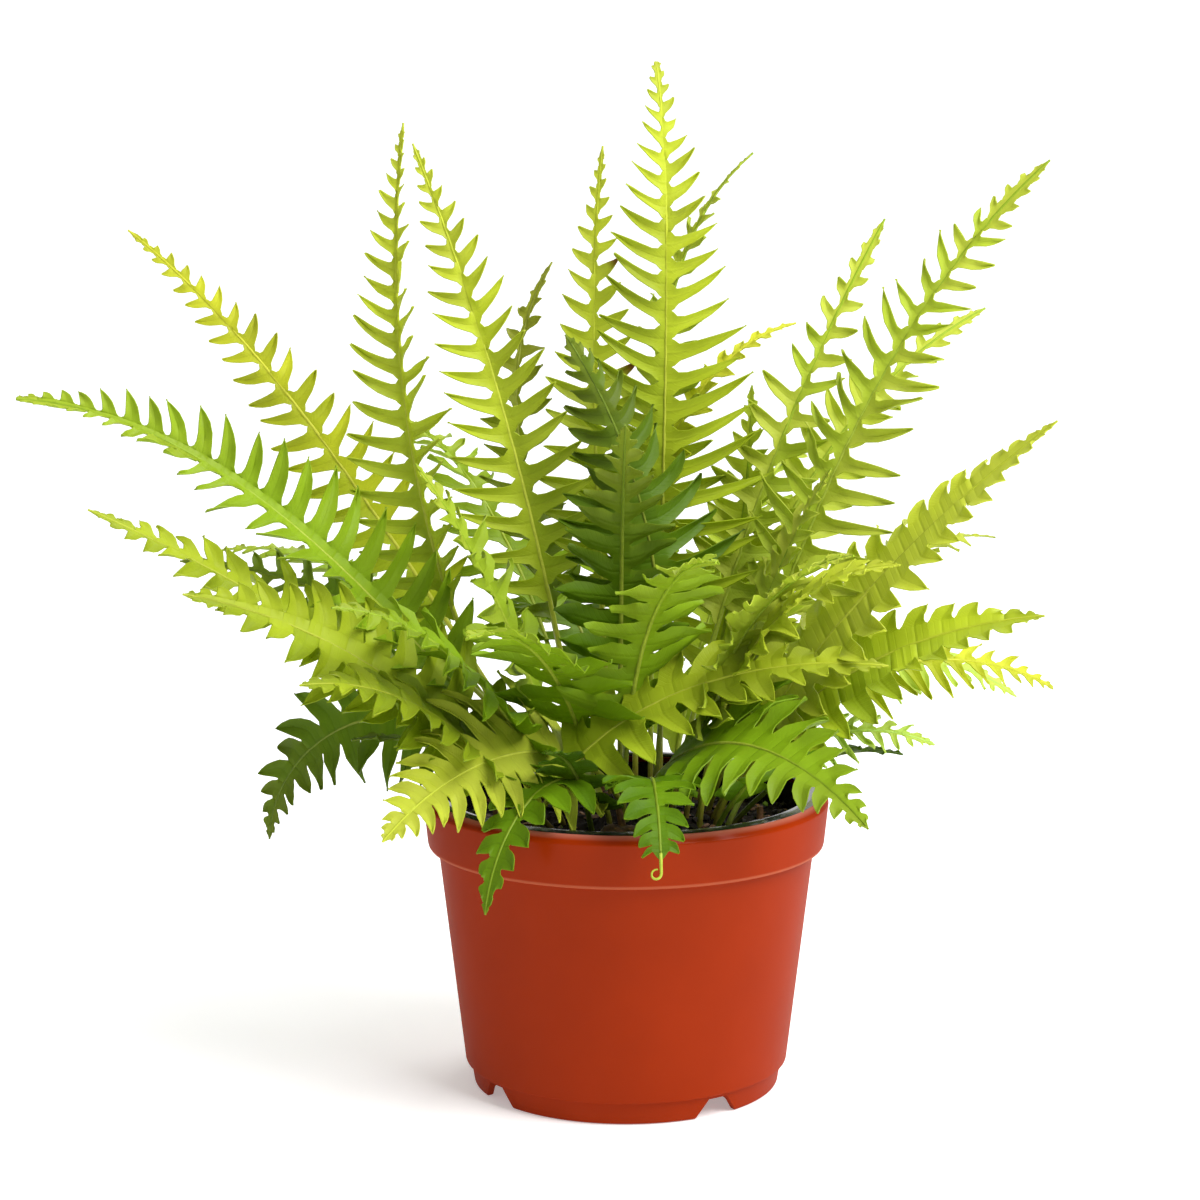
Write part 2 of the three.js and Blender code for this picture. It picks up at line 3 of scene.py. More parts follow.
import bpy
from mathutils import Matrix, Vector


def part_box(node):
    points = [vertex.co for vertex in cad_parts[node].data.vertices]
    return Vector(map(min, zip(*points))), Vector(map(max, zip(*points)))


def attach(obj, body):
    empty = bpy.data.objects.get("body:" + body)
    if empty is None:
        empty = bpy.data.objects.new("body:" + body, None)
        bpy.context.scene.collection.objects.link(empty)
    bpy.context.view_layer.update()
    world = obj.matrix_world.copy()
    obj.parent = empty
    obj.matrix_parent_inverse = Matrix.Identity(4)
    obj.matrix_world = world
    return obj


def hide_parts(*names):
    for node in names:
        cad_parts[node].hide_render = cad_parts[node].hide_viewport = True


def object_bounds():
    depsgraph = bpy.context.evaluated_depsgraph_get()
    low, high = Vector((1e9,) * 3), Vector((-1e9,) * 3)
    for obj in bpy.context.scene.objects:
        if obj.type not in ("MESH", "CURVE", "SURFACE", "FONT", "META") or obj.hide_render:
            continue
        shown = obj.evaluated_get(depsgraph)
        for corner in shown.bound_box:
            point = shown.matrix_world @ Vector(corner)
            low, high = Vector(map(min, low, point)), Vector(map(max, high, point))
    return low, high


bl_info = {
    "name": "Potted Common Polypody",
    "version": (1, 0, 0),
    "blender": (4, 5, 0),
    "location": "View3D > Sidebar > Fern",
    "description": "Dresses the frame of a potted fern with its pot, soil, rhizomes and lobed fronds",
    "category": "Object",
}

import math
import random
from typing import NamedTuple

import bmesh
import bpy
from bpy.props import FloatProperty, FloatVectorProperty, IntProperty, PointerProperty
from mathutils import Matrix, Vector, noise

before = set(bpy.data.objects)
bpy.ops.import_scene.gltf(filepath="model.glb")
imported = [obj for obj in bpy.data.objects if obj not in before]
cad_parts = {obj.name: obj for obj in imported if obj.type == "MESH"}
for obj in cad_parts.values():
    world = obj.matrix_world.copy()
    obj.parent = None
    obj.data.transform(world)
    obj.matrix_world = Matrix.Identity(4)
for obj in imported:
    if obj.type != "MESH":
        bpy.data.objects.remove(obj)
CAD_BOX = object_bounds()

# Millimetres in the frond table and in lengths that are written with it
MM = 0.001

POT_LOW, POT_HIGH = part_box("pot")
# The foot of the pot's axis, which every piece is placed from
FOOT = Vector((0.5 * (POT_LOW.x + POT_HIGH.x), 0.5 * (POT_LOW.y + POT_HIGH.y), POT_LOW.z))
POT_H = POT_HIGH.z - POT_LOW.z

# Pot, as its solid: collar on a tapering body, turned-in lip, foot ring with four notches
RIM_R = 65 * MM
LIP_BEVEL = 2.4 * MM
LIP_DROP = 0.4 * MM
FLANGE = 4.8 * MM
COLLAR_H = 14.2 * MM
COLLAR_R = 63.2 * MM
BODY_R = 60.4 * MM
BODY_FOOT_R = 52 * MM
FOOT_R = 49.2 * MM
FOOT_FLARE = 1.2 * MM
FOOT_RING_W = 2.3 * MM
FOOT_H = 7.3 * MM
WALL = 1.4 * MM
FLOOR_T = 3.4 * MM
NOTCH_W = 17 * MM
NOTCH_TOP_W = 7 * MM
NOTCH_H = 6 * MM
NOTCH_AZIMUTHS = (-55, -145, 35, 125)
DRAIN_R = 4.5 * MM
DRAIN_OUT = 34 * MM
RIM_EDGE_Z = POT_H - LIP_BEVEL - LIP_DROP
COLLAR_Z = RIM_EDGE_Z - COLLAR_H
FLANGE_R = RIM_R - LIP_BEVEL
FLOOR_Z = FOOT_H + WALL

# Soil and rhizomes, as their solids
SOIL_Z = 82
SOIL_MOUND = 7.5
MOUND_SPREAD = 30
LUMP = 0.9
CLEAR = 0.35 * MM
RHIZOME_R = 4 * MM
RHIZOME_RISE = 1 * MM
STUB_R = 1.3 * MM

# Fronds, as their solids
STIPE_R = 1 * MM
TIP_R = 0.5 * MM
HOLE_DEPTH = 7.5
CURVE_STEPS = 60
LAST_NOTCH = 0.985
PITCH_POWER = 1.25
TAPER_POWER = 1.5
SHOULDER = 0.8
SHOULDER_END = 0.2
LOBE_SWEEP = 80
TIP_SWEEP = 56
WING_SHARE = 0.15

# How a finer lobe runs out from its wing: its rows, from the rachis to the tip
LOBE_ROWS = (0, 0, 0.04, 0.11, 0.25, 0.45, 0.66, 0.84, 0.95, 1)
LOBE_COLUMNS = 4
SINUS = 0.09
LAST_POINT = 0.995
FULL_LOBE = 14 * MM
COIL_TURN = 5
COIL_FREE = 1.7
COIL_RINGS = 160
RACHIS_SIDES = 7
END_ROWS = 4

# Faces of the soil, scales on a rhizome, and how close vertices are merged
SOIL_SIDES = 120
SOIL_RINGS = 36
SCALES = 150
MERGE = 0.01 * MM

# Tints that the pieces' own colours are mixed with; some of them are painted light and shade, as marked
# Painted shade: each blade is mixed towards this darker green near its foot, deep in the crown
LEAF_FOOT_SHADE = (0.185, 0.34, 0.006)
# Yellow of the young ends, partly their own colour and partly painted light: it shows only on fronds painted
# bright, and its paleness stands in for highlights
LEAF_LIT_YOUNG_END = (0.66, 0.68, 0.09)
LEAF_MARGIN = (0.5, 0.62, 0.03)
# Painted sunlight: fronds painted bright are mixed towards this
LEAF_SUNLIT = (0.62, 0.66, 0.08)
LEAF_DRY = (0.16, 0.045, 0.012)
LEAF_GLOW = (0.74, 0.86, 0.05)
STEM = (0.52, 0.56, 0.07)
STEM_FOOT = (0.1, 0.04, 0.015)
DIRT = (0.01, 0.007, 0.005)
MOSS_LOW = (0.03, 0.06, 0.004)
MOSS_HIGH = (0.16, 0.26, 0.012)
# Painted highlight: a pale line along the collar's lower edge
COLLAR_HIGHLIGHT = (0.6, 0.2, 0.1)
# Painted highlight: the lip's top edge is paler all round
LIP_HIGHLIGHT = (0.55, 0.22, 0.16)


class Habit(NamedTuple):
    """How a frond's lobes look"""

    ratio: float  # lobes here for each lobe of the solid
    wing: float  # share of the blade's half width that stays uncut
    fill: float  # share of its pitch that a lobe fills
    full: float  # how far out a lobe stays wide: low is lance-shaped, high is blunt
    waist: float  # how much a lobe narrows where it leaves its wing
    tail: float  # share of the blade where the lobes start to run together into its tip
    unruly: float  # how much the lobes differ from each other


HABITS = {
    "lance": Habit(1.3, 0.08, 0.50, 2.5, 0.0, 0.92, 1.4),
    "loose": Habit(1.2, 0.05, 0.52, 2.3, 0.45, 0.80, 2.2),
    "plain": Habit(1.3, 0.14, 0.64, 3.0, 0.0, 0.86, 1.8),
    "broad": Habit(1.2, 0.26, 0.84, 3.2, 0.0, 0.88, 2.0),
    "blunt": Habit(1.1, 0.26, 0.78, 4.5, 0.0, 0.80, 1.9),
    "joined": Habit(1.2, 0.52, 0.85, 3.6, 0.0, 0.94, 1.6),
    "crowded": Habit(1.25, 0.13, 0.78, 3.4, 0.12, 0.84, 2.3),
    "round": Habit(0.95, 0.18, 0.86, 3.8, 0.15, 0.62, 1.6),
}

TONES = ("pale", "yellow", "young", "mid", "olive", "dark")

# Paper sweep that the plant stands on
PAPER_SIZE = 5
PAPER_FLAT = 1.6
PAPER_BEND_R = 1.2


def clamped(value, low=0.0, high=1.0):
    return min(high, max(low, value))


# Settings


class PotSettings(bpy.types.PropertyGroup):
    """Finish of the pot"""

    sides: IntProperty(
        name="Sides", description="Faces round the pot", default=168, min=48, max=256, subtype="UNSIGNED"
    )
    rounding: FloatProperty(
        name="Rounding", description="Radius of the pot's moulded edges", default=0.5 * MM, unit="LENGTH"
    )
    plastic: FloatVectorProperty(
        name="Plastic", description="Colour of the outside", default=(0.28, 0.0225, 0.001), subtype="COLOR"
    )
    lining: FloatVectorProperty(
        name="Lining", description="Colour of the inside", default=(0.006, 0.006, 0.007), subtype="COLOR"
    )


class SoilSettings(bpy.types.PropertyGroup):
    """Finish of the soil, its crumbs and the rhizomes"""

    crumbs: IntProperty(
        name="Crumbs", description="Loose crumbs on the soil", default=900, min=0, subtype="UNSIGNED"
    )
    chips: IntProperty(
        name="Chips", description="Chips of bark and husk on the soil", default=110, min=0, subtype="UNSIGNED"
    )
    moss: IntProperty(
        name="Moss", description="Small tufts of moss on the soil", default=160, min=0, subtype="UNSIGNED"
    )
    peat: FloatVectorProperty(
        name="Peat", description="Colour of the soil", default=(0.010, 0.006, 0.004), subtype="COLOR"
    )
    bark: FloatVectorProperty(
        name="Bark", description="Colour of bark and rhizomes", default=(0.16, 0.075, 0.03), subtype="COLOR"
    )


class FrondSettings(bpy.types.PropertyGroup):
    """Finish of the fronds"""

    lobes: FloatProperty(
        name="Lobes", description="Scales the number of lobes on every frond", default=1.0, min=0.5, max=1.5,
        subtype="FACTOR",
    )
    thickness: FloatProperty(
        name="Thickness", description="Thickness of the leaf", default=0.32 * MM, unit="LENGTH"
    )
    wave: FloatProperty(
        name="Wave", description="Height of the waves at a lobe's margins", default=0.45 * MM, unit="LENGTH"
    )
    pale: FloatVectorProperty(
        name="Pale", description="Leaf of the palest fronds", default=(0.42, 0.66, 0.14), subtype="COLOR"
    )
    yellow: FloatVectorProperty(
        name="Yellow", description="Leaf of the youngest fronds", default=(0.62, 0.62, 0.03), subtype="COLOR"
    )
    young: FloatVectorProperty(
        name="Young", description="Leaf of young fronds", default=(0.49, 0.56, 0.025), subtype="COLOR"
    )
    mid: FloatVectorProperty(
        name="Mid", description="Leaf of grown fronds", default=(0.22, 0.375, 0.006), subtype="COLOR"
    )
    olive: FloatVectorProperty(
        name="Olive", description="Leaf of ageing fronds", default=(0.17, 0.20, 0.01), subtype="COLOR"
    )
    dark: FloatVectorProperty(
        name="Dark", description="Leaf of the oldest fronds", default=(0.075, 0.155, 0.004), subtype="COLOR"
    )


class StageSettings(bpy.types.PropertyGroup):
    """Camera, lights and floor"""

    lens: FloatProperty(
        name="Lens", description="Focal length on a 36 mm sensor", default=86.1, subtype="DISTANCE_CAMERA"
    )
    camera_back: FloatProperty(
        name="Distance", description="Camera's distance from the pot's axis", default=0.9016, unit="LENGTH"
    )
    camera_up: FloatProperty(
        name="Height", description="Camera's height over the floor", default=0.2946, unit="LENGTH"
    )
    aim_up: FloatProperty(
        name="Aim height", description="Height that the camera looks at", default=0.1565, unit="LENGTH"
    )
    shift: FloatProperty(
        name="Shift", description="Camera's sideways shift as a share of the frame", default=-0.0217,
        subtype="FACTOR", min=-1, max=1,
    )
    key: FloatProperty(name="Key light", description="Power of the key light", default=40, unit="POWER")
    back: FloatProperty(name="Back light", description="Power of the back light", default=13, unit="POWER")
    fill: FloatProperty(name="Fill light", description="Power of the fill light", default=0.5, unit="POWER")
    sky: FloatProperty(name="Sky", description="Strength of the light around", default=0.34, subtype="FACTOR")


# Materials


class Finish:
    """A material's node tree, with short ways to add nodes and to join them"""

    def __init__(self, name):
        self.material = bpy.data.materials.new(name)
        self.material.use_nodes = True
        self.tree = self.material.node_tree
        self.tree.nodes.clear()
        self.output = self.node("ShaderNodeOutputMaterial")

    def node(self, kind, inputs=None, **settings):
        made = self.tree.nodes.new(kind)
        for key, value in settings.items():
            setattr(made, key, value)
        for key, value in (inputs or {}).items():
            if isinstance(value, bpy.types.NodeSocket):
                self.tree.links.new(value, made.inputs[key])
            else:
                made.inputs[key].default_value = value
        return made

    def math(self, operation, *values):
        return self.node("ShaderNodeMath", dict(enumerate(values)), operation=operation).outputs[0]

    def times(self, first, second):
        return self.math("MULTIPLY", first, second)

    def apart(self, first, second):
        """How far two values are from each other"""
        return self.math("ABSOLUTE", self.math("SUBTRACT", first, second))

    def spread(self, value, low, high, to_low=0.0, to_high=1.0):
        """Stretches a value's range from low to high over another one"""
        span = {"Value": value, "From Min": low, "From Max": high, "To Min": to_low, "To Max": to_high}
        return self.node("ShaderNodeMapRange", span).outputs["Result"]

    def mixed(self, factor, first, second):
        return self.node("ShaderNodeMix", {0: factor, 6: first, 7: second}, data_type="RGBA").outputs[2]

    def place(self):
        return self.node("ShaderNodeTexCoord").outputs["Object"]

    def growth(self):
        """A frond's values: place along the frond, the lobe's own shade, underside, and the light painted
        into the frond's colour
        """
        growth = self.node("ShaderNodeAttribute", attribute_name="growth").outputs
        return (*self.node("ShaderNodeSeparateColor", {"Color": growth["Color"]}).outputs, growth["Alpha"])

    def grain(self, size, detail=3.0, squash=(1, 1, 1)):
        """Noise whose patches are about as wide as size, in metres"""
        place = self.node("ShaderNodeMapping", {"Vector": self.place(), "Scale": squash}).outputs["Vector"]
        noise_inputs = {"Vector": place, "Scale": 1 / size, "Detail": detail}
        return self.node("ShaderNodeTexNoise", noise_inputs).outputs["Fac"]

    def bump(self, height, strength, distance):
        made = self.node("ShaderNodeBump", {"Height": height, "Strength": strength, "Distance": distance})
        return made.outputs["Normal"]

    def close(self, shader):
        self.tree.links.new(shader.outputs[0], self.output.inputs["Surface"])
        return self.material

    def surface(self, inputs):
        return self.node("ShaderNodeBsdfPrincipled", inputs)


def colour(values, gain=1.0):
    return (*[min(1.0, gain * value) for value in values], 1.0)


def plastic_finish(settings):
    """Moulded plastic: faint mottling under a soft sheen, with painted highlights at the lip and along the
    collar's edge
    """
    finish = Finish("pot_plastic")
    height = finish.node("ShaderNodeSeparateXYZ", {"Vector": finish.place()}).outputs[2]
    off_edge = finish.apart(height, COLLAR_Z + 0.5 * MM)
    mottle = finish.spread(finish.grain(22 * MM, 4), 0.1, 0.9)
    base = finish.mixed(mottle, colour(settings.plastic, 0.92), colour(settings.plastic, 1.08))
    # Painted highlight: a pale line where the collar's lower edge is rounded
    base = finish.mixed(finish.spread(off_edge, 0.3 * MM, 0.8 * MM, 0.3, 0), base, colour(COLLAR_HIGHLIGHT))
    # Painted highlight: the lip's top edge is mixed towards a pale pink all round
    lip = finish.spread(height, POT_H - 1.9 * MM, POT_H - 0.7 * MM, 0, 0.45)
    base = finish.mixed(lip, base, colour(LIP_HIGHLIGHT))
    rough = finish.spread(finish.grain(30 * MM, 2), 0.1, 0.9, 0.4, 0.5)
    normal = finish.bump(finish.grain(0.6 * MM, 2), 0.03, 0.0001)
    return finish.close(finish.surface({
        "Base Color": base, "Roughness": rough, "Normal": normal, "Specular IOR Level": 0.0,
        "Coat Weight": 0.14, "Coat Roughness": 0.22, "Coat Normal": normal}))


def lining_finish(settings):
    """The lip's glossy dark top and the pot's inside"""
    finish = Finish("pot_lining")
    smear = finish.spread(finish.grain(7 * MM, 4), 0.4, 0.75)
    base = finish.mixed(smear, colour(settings.lining), colour(settings.lining, 3.0))
    rough = finish.spread(smear, 0, 1, 0.14, 0.26)
    normal = finish.bump(finish.grain(1.2 * MM, 2), 0.05, 0.0001)
    return finish.close(finish.surface({
        "Base Color": base, "Roughness": rough, "Normal": normal, "Specular IOR Level": 0.6}))


def soil_finish(settings):
    """Damp, dark, crumbly compost"""
    finish = Finish("soil")
    lumps = finish.grain(4 * MM, 6)
    fibre = finish.grain(1.1 * MM, 4, (1, 0.35, 1))
    lumpy = finish.spread(lumps, 0.35, 0.7)
    base = finish.mixed(lumpy, colour(settings.peat, 0.4), colour(settings.peat, 1.6))
    base = finish.mixed(finish.spread(fibre, 0.64, 0.74, 0, 0.6), base, colour(settings.bark, 0.7))
    height = finish.math("ADD", lumps, finish.times(fibre, 0.4))
    return finish.close(finish.surface({
        "Base Color": base, "Roughness": 0.92, "Normal": finish.bump(height, 0.9, 0.0015),
        "Specular IOR Level": 0.15}))


def crumb_finish(name, low, high, rough):
    """Crumbs or chips, each in its own shade"""
    finish = Finish(name)
    shade = finish.node("ShaderNodeAttribute", attribute_name="shade").outputs["Fac"]
    base = finish.mixed(shade, low, high)
    base = finish.mixed(finish.spread(finish.grain(1.2 * MM, 3), 0.4, 0.7, 0, 0.5), base, colour(DIRT))
    normal = finish.bump(finish.grain(0.8 * MM, 3), 0.6, 0.0006)
    return finish.close(finish.surface({"Base Color": base, "Roughness": rough, "Normal": normal}))


def leaf_finish(tone, leaf):
    """Leaf that light shines through: sunken midveins, faint side veins, yellower ends, a few dry lobes, with
    painted light and shade on each frond, and painted shade at each blade's foot and in its midveins
    """
    finish = Finish(f"leaf_{tone}")
    lobe = finish.node("ShaderNodeUVMap", uv_map="lobe").outputs["UV"]
    across, along, _ = finish.node("ShaderNodeSeparateXYZ", {"Vector": lobe}).outputs
    share, shade, under, painted_light = finish.growth()
    big = finish.spread(share, 0.6, 0.92, 1, 0)
    from_vein = finish.apart(across, 0.5)
    vein = finish.times(finish.spread(from_vein, 0.01, 0.09, 1, 0), big)
    slant = finish.math("SUBTRACT", finish.times(along, 9.5), finish.times(from_vein, 3.6))
    ridges = finish.math("ABSOLUTE", finish.math("SINE", finish.times(slant, math.pi)))
    side_veins = finish.times(finish.spread(ridges, 0.0, 0.4, 1, 0), big)
    patch = finish.spread(finish.grain(16 * MM, 4), 0.3, 0.7)

    base = finish.mixed(patch, colour(leaf, 0.8), colour(leaf, 1.15))
    own = finish.times(finish.spread(along, 0, 0.4), finish.spread(shade, 0, 1, 0, 0.5))
    base = finish.mixed(own, base, colour(leaf, 0.55))
    # Painted shade: greener and darker towards the foot of each blade, where the crown lies in shade
    base = finish.mixed(finish.spread(share, 0.0, 0.75, 0.6, 0), base, colour(LEAF_FOOT_SHADE))
    # Yellower young ends, partly the leaf's own colour and partly painted light, since only fronds painted
    # bright get them
    lit_young_end = finish.times(finish.math("POWER", share, 2.2), finish.spread(painted_light, 0.1, 0.5, 0, 0.5))
    base = finish.mixed(lit_young_end, base, colour(LEAF_LIT_YOUNG_END))
    margin = finish.times(finish.spread(from_vein, 0.3, 0.5), 0.1)
    base = finish.mixed(margin, base, colour(LEAF_MARGIN))
    # Painted shade: the sunken midvein is darkened, as if shade lay in its groove
    base = finish.mixed(finish.times(vein, 0.16), base, colour(leaf, 0.5))
    base = finish.mixed(finish.times(side_veins, 0.08), base, colour(leaf, 1.6))
    # Painted light and shade per frond: bright fronds are mixed towards painted sunlight, shaded ones towards
    # a dark copy of their leaf
    base = finish.mixed(finish.spread(painted_light, 0.5, 1, 0, 0.75), base, colour(LEAF_SUNLIT))
    red, green, blue = leaf
    shaded = colour((0.16 * red, 0.34 * green, 0.3 * blue))
    base = finish.mixed(finish.spread(painted_light, 0, 0.5, 0.75, 0), base, shaded)
    base = finish.mixed(finish.times(under, 0.3), base, colour(leaf, 1.4))
    dry = finish.times(finish.spread(shade, 0.994, 0.996), finish.spread(along, 0.55, 0.85))
    base = finish.mixed(dry, base, colour(LEAF_DRY))
    shine = finish.mixed(0.4, base, colour(LEAF_GLOW))

    height = finish.math("SUBTRACT", finish.times(finish.grain(2.4 * MM, 2), 0.3), vein)
    height = finish.math("SUBTRACT", height, finish.times(side_veins, 0.35))
    normal = finish.bump(height, 0.3, 0.0005)
    rough = finish.spread(patch, 0, 1, 0.4, 0.55)
    surface = finish.surface({
        "Base Color": base, "Roughness": rough, "Normal": normal, "Specular IOR Level": 0.17})
    through = finish.node("ShaderNodeBsdfTranslucent", {"Color": shine, "Normal": normal})
    shaders = {0: 0.36, 1: surface.outputs[0], 2: through.outputs[0]}
    return finish.close(finish.node("ShaderNodeMixShader", shaders))


def stem_finish(tone, leaf):
    """Stipe and rachis: brown at the foot, then pale green, finely streaked, darker towards the tip, and
    darker still with painted shade on shaded fronds
    """
    finish = Finish(f"stem_{tone}")
    share, _, _, painted_light = finish.growth()
    streak = finish.spread(finish.grain(1.5 * MM, 3), 0.35, 0.7)
    green = finish.mixed(0.6, colour(leaf, 0.9), colour(STEM))
    green = finish.mixed(finish.times(streak, 0.35), green, colour(leaf, 0.6))
    green = finish.mixed(finish.spread(share, 0.5, 0.75, 0, 0.6), green, colour(leaf, 1.0))
    # Painted shade: stems of fronds painted in shade are darkened
    green = finish.mixed(finish.spread(painted_light, 0, 0.5, 0.8, 0), green, colour(leaf, 0.4))
    foot = finish.spread(share, 0.0, 0.11, 1, 0)
    base = finish.mixed(finish.times(foot, 0.85), green, colour(STEM_FOOT))
    normal = finish.bump(streak, 0.25, 0.0003)
    return finish.close(finish.surface({
        "Base Color": base, "Roughness": 0.45, "Normal": normal, "Specular IOR Level": 0.2}))


# Making pieces


def linked(name, data):
    """A new object in the scene"""
    made = bpy.data.objects.new(name, data)
    bpy.context.scene.collection.objects.link(made)
    return made


def set_down(bm, verts, turn, place):
    """Turns vertices about the origin, then moves them to their place"""
    bmesh.ops.rotate(bm, verts=verts, cent=(0, 0, 0), matrix=turn)
    bmesh.ops.translate(bm, verts=verts, vec=place)


def rod(bm, sides, low_radius, high_radius, height):
    """The vertices of a capped rod along Z"""
    made = bmesh.ops.create_cone(bm, segments=sides, radius1=low_radius, radius2=high_radius, depth=height,
                                 cap_ends=True)
    return made["verts"]


def mesh_of(name, bm, materials):
    """Turns a bmesh into a mesh with its materials"""
    mesh = bpy.data.meshes.new(name)
    for material in materials:
        mesh.materials.append(material)
    bm.to_mesh(mesh)
    bm.free()
    return mesh


def add_piece(name, bm, materials, replaces=(), sharp=40):
    """A mesh object at the origin, riding on the root, that stands for the nodes it replaces"""
    mesh = mesh_of(name, bm, materials)
    for face in mesh.polygons:
        face.use_smooth = True
    mesh.set_sharp_from_angle(angle=math.radians(sharp))
    piece = linked(name, mesh)
    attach(piece, "root")
    if replaces:
        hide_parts(*replaces)
    return piece


def spun(bm, profile, steps, rounding):
    """Spins a profile of (radius, height) points about the pot's axis, its corners rounded first"""
    verts = [bm.verts.new(FOOT + Vector((r, 0, z))) for r, z in profile]
    for pair in zip(verts, verts[1:]):
        bm.edges.new(pair)
    if rounding:
        bmesh.ops.bevel(bm, geom=verts[1:-1], offset=rounding, affect="VERTICES", segments=3, profile=0.5,
                        material=-1)
    bmesh.ops.spin(bm, geom=bm.verts[:] + bm.edges[:], cent=FOOT, axis=(0, 0, 1), angle=math.tau, steps=steps,
                   use_merge=True)
    bmesh.ops.remove_doubles(bm, verts=bm.verts, dist=MERGE)
    bmesh.ops.recalc_face_normals(bm, faces=bm.faces)


# Pot


def wall_radius(z):
    """Radius of the body's inner wall"""
    share = (z - FOOT_H) / (COLLAR_Z - FOOT_H)
    return BODY_FOOT_R + (BODY_R - BODY_FOOT_R) * share - WALL


def pot_profile():
    underside = FLOOR_Z - FLOOR_T
    return (
        (0, underside),
        (FOOT_R - 2 * FOOT_RING_W, underside),
        (FOOT_R - FOOT_RING_W + 0.4 * WALL, underside - WALL),
        (FOOT_R - FOOT_RING_W, 0),
        (FOOT_R, 0),
        (FOOT_R + FOOT_FLARE, FOOT_H),
        (BODY_FOOT_R, FOOT_H),
        (BODY_R, COLLAR_Z),
        (COLLAR_R, COLLAR_Z),
        (COLLAR_R + 0.3 * WALL, COLLAR_Z + 0.7 * WALL),
        (RIM_R, RIM_EDGE_Z),
        (FLANGE_R, POT_H - LIP_DROP),
        (FLANGE_R - 0.6 * FLANGE, POT_H),
        (FLANGE_R - FLANGE, POT_H - 0.5 * LIP_DROP),
        (FLANGE_R - FLANGE, POT_H - WALL),
        (RIM_R - 2 * WALL, RIM_EDGE_Z - 0.7 * WALL),
        (COLLAR_R - 0.9 * WALL, COLLAR_Z + WALL),
        (wall_radius(COLLAR_Z), COLLAR_Z - WALL),
        (wall_radius(FLOOR_Z) - 0.7 * WALL, FLOOR_Z),
        (0, FLOOR_Z),
    )


def cut_notch(bm, azimuth):
    """A tapering block through the foot ring"""
    made = bmesh.ops.create_cube(bm, size=1)["verts"]
    depth = 6 * FOOT_RING_W
    for vert in made:
        width = NOTCH_TOP_W if vert.co.z > 0 else NOTCH_W
        height = NOTCH_H if vert.co.z > 0 else -MM
        vert.co = Vector((FOOT_R - 0.1 * depth + vert.co.x * depth, vert.co.y * width, height))
    set_down(bm, made, Matrix.Rotation(math.radians(azimuth), 3, "Z"), FOOT)


def cut_drain(bm, azimuth):
    """A round rod through the floor"""
    made = rod(bm, 24, DRAIN_R, DRAIN_R, 4 * FOOT_H)
    bmesh.ops.translate(bm, verts=made, vec=(DRAIN_OUT, 0, 0))
    set_down(bm, made, Matrix.Rotation(math.radians(azimuth), 3, "Z"), FOOT)


def is_lining(face):
    """Whether a face of the pot belongs to the lip's top or the inside"""
    middle = face.calc_center_median() - FOOT
    outward = Vector((middle.x, middle.y, 0)).normalized()
    inner = face.normal.dot(outward) < 0.3 and face.normal.z > -0.5
    return inner and middle.z > FOOT_H


class FERN_OT_pot(bpy.types.Operator):
    """Build the moulded pot, with its notches and drain holes cut"""

    bl_idname = "fern.pot"
    bl_label = "Pot"

    def execute(self, context):
        settings = context.scene.fern_pot
        plastic, lining = plastic_finish(settings), lining_finish(settings)
        bm = bmesh.new()
        spun(bm, pot_profile(), settings.sides, settings.rounding)
        for face in bm.faces:
            face.material_index = int(is_lining(face))
        cutters = bmesh.new()
        for azimuth in NOTCH_AZIMUTHS:
            cut_notch(cutters, azimuth)
            cut_drain(cutters, azimuth + 45)
        cutter = linked("pot_cutters", mesh_of("pot_cutters", cutters, (plastic,)))
        piece = add_piece("pot_moulded", bm, (plastic, lining), ("pot",))
        cut = piece.modifiers.new("notches", "BOOLEAN")
        cut.object = cutter
        cut.operation = "DIFFERENCE"
        cut.solver = "EXACT"
        whole = bpy.data.meshes.new_from_object(piece.evaluated_get(context.evaluated_depsgraph_get()))
        if len(whole.polygons) < settings.sides:
            raise RuntimeError("the pot lost its faces when its notches were cut")
        piece.modifiers.clear()
        piece.data = whole
        whole.set_sharp_from_angle(angle=math.radians(40))
        bpy.data.objects.remove(cutter)
        return {"FINISHED"}


# Soil


def soil_height(x, y):
    """Height of the soil over the floor, at a place in millimetres from the pot's axis"""
    mound = SOIL_MOUND * math.exp((-x * x - y * y) / (2 * MOUND_SPREAD**2))
    lumps = math.sin(0.21 * x + 0.6) * math.cos(0.17 * y) + 0.6 * math.sin(0.43 * y - 0.31 * x)
    return SOIL_Z + mound + LUMP * lumps


def on_soil(x, y, rise=0.0):
    """A point on the soil's surface, at a place in millimetres from the pot's axis"""
    return FOOT + Vector((x * MM, y * MM, soil_height(x, y) * MM + rise))


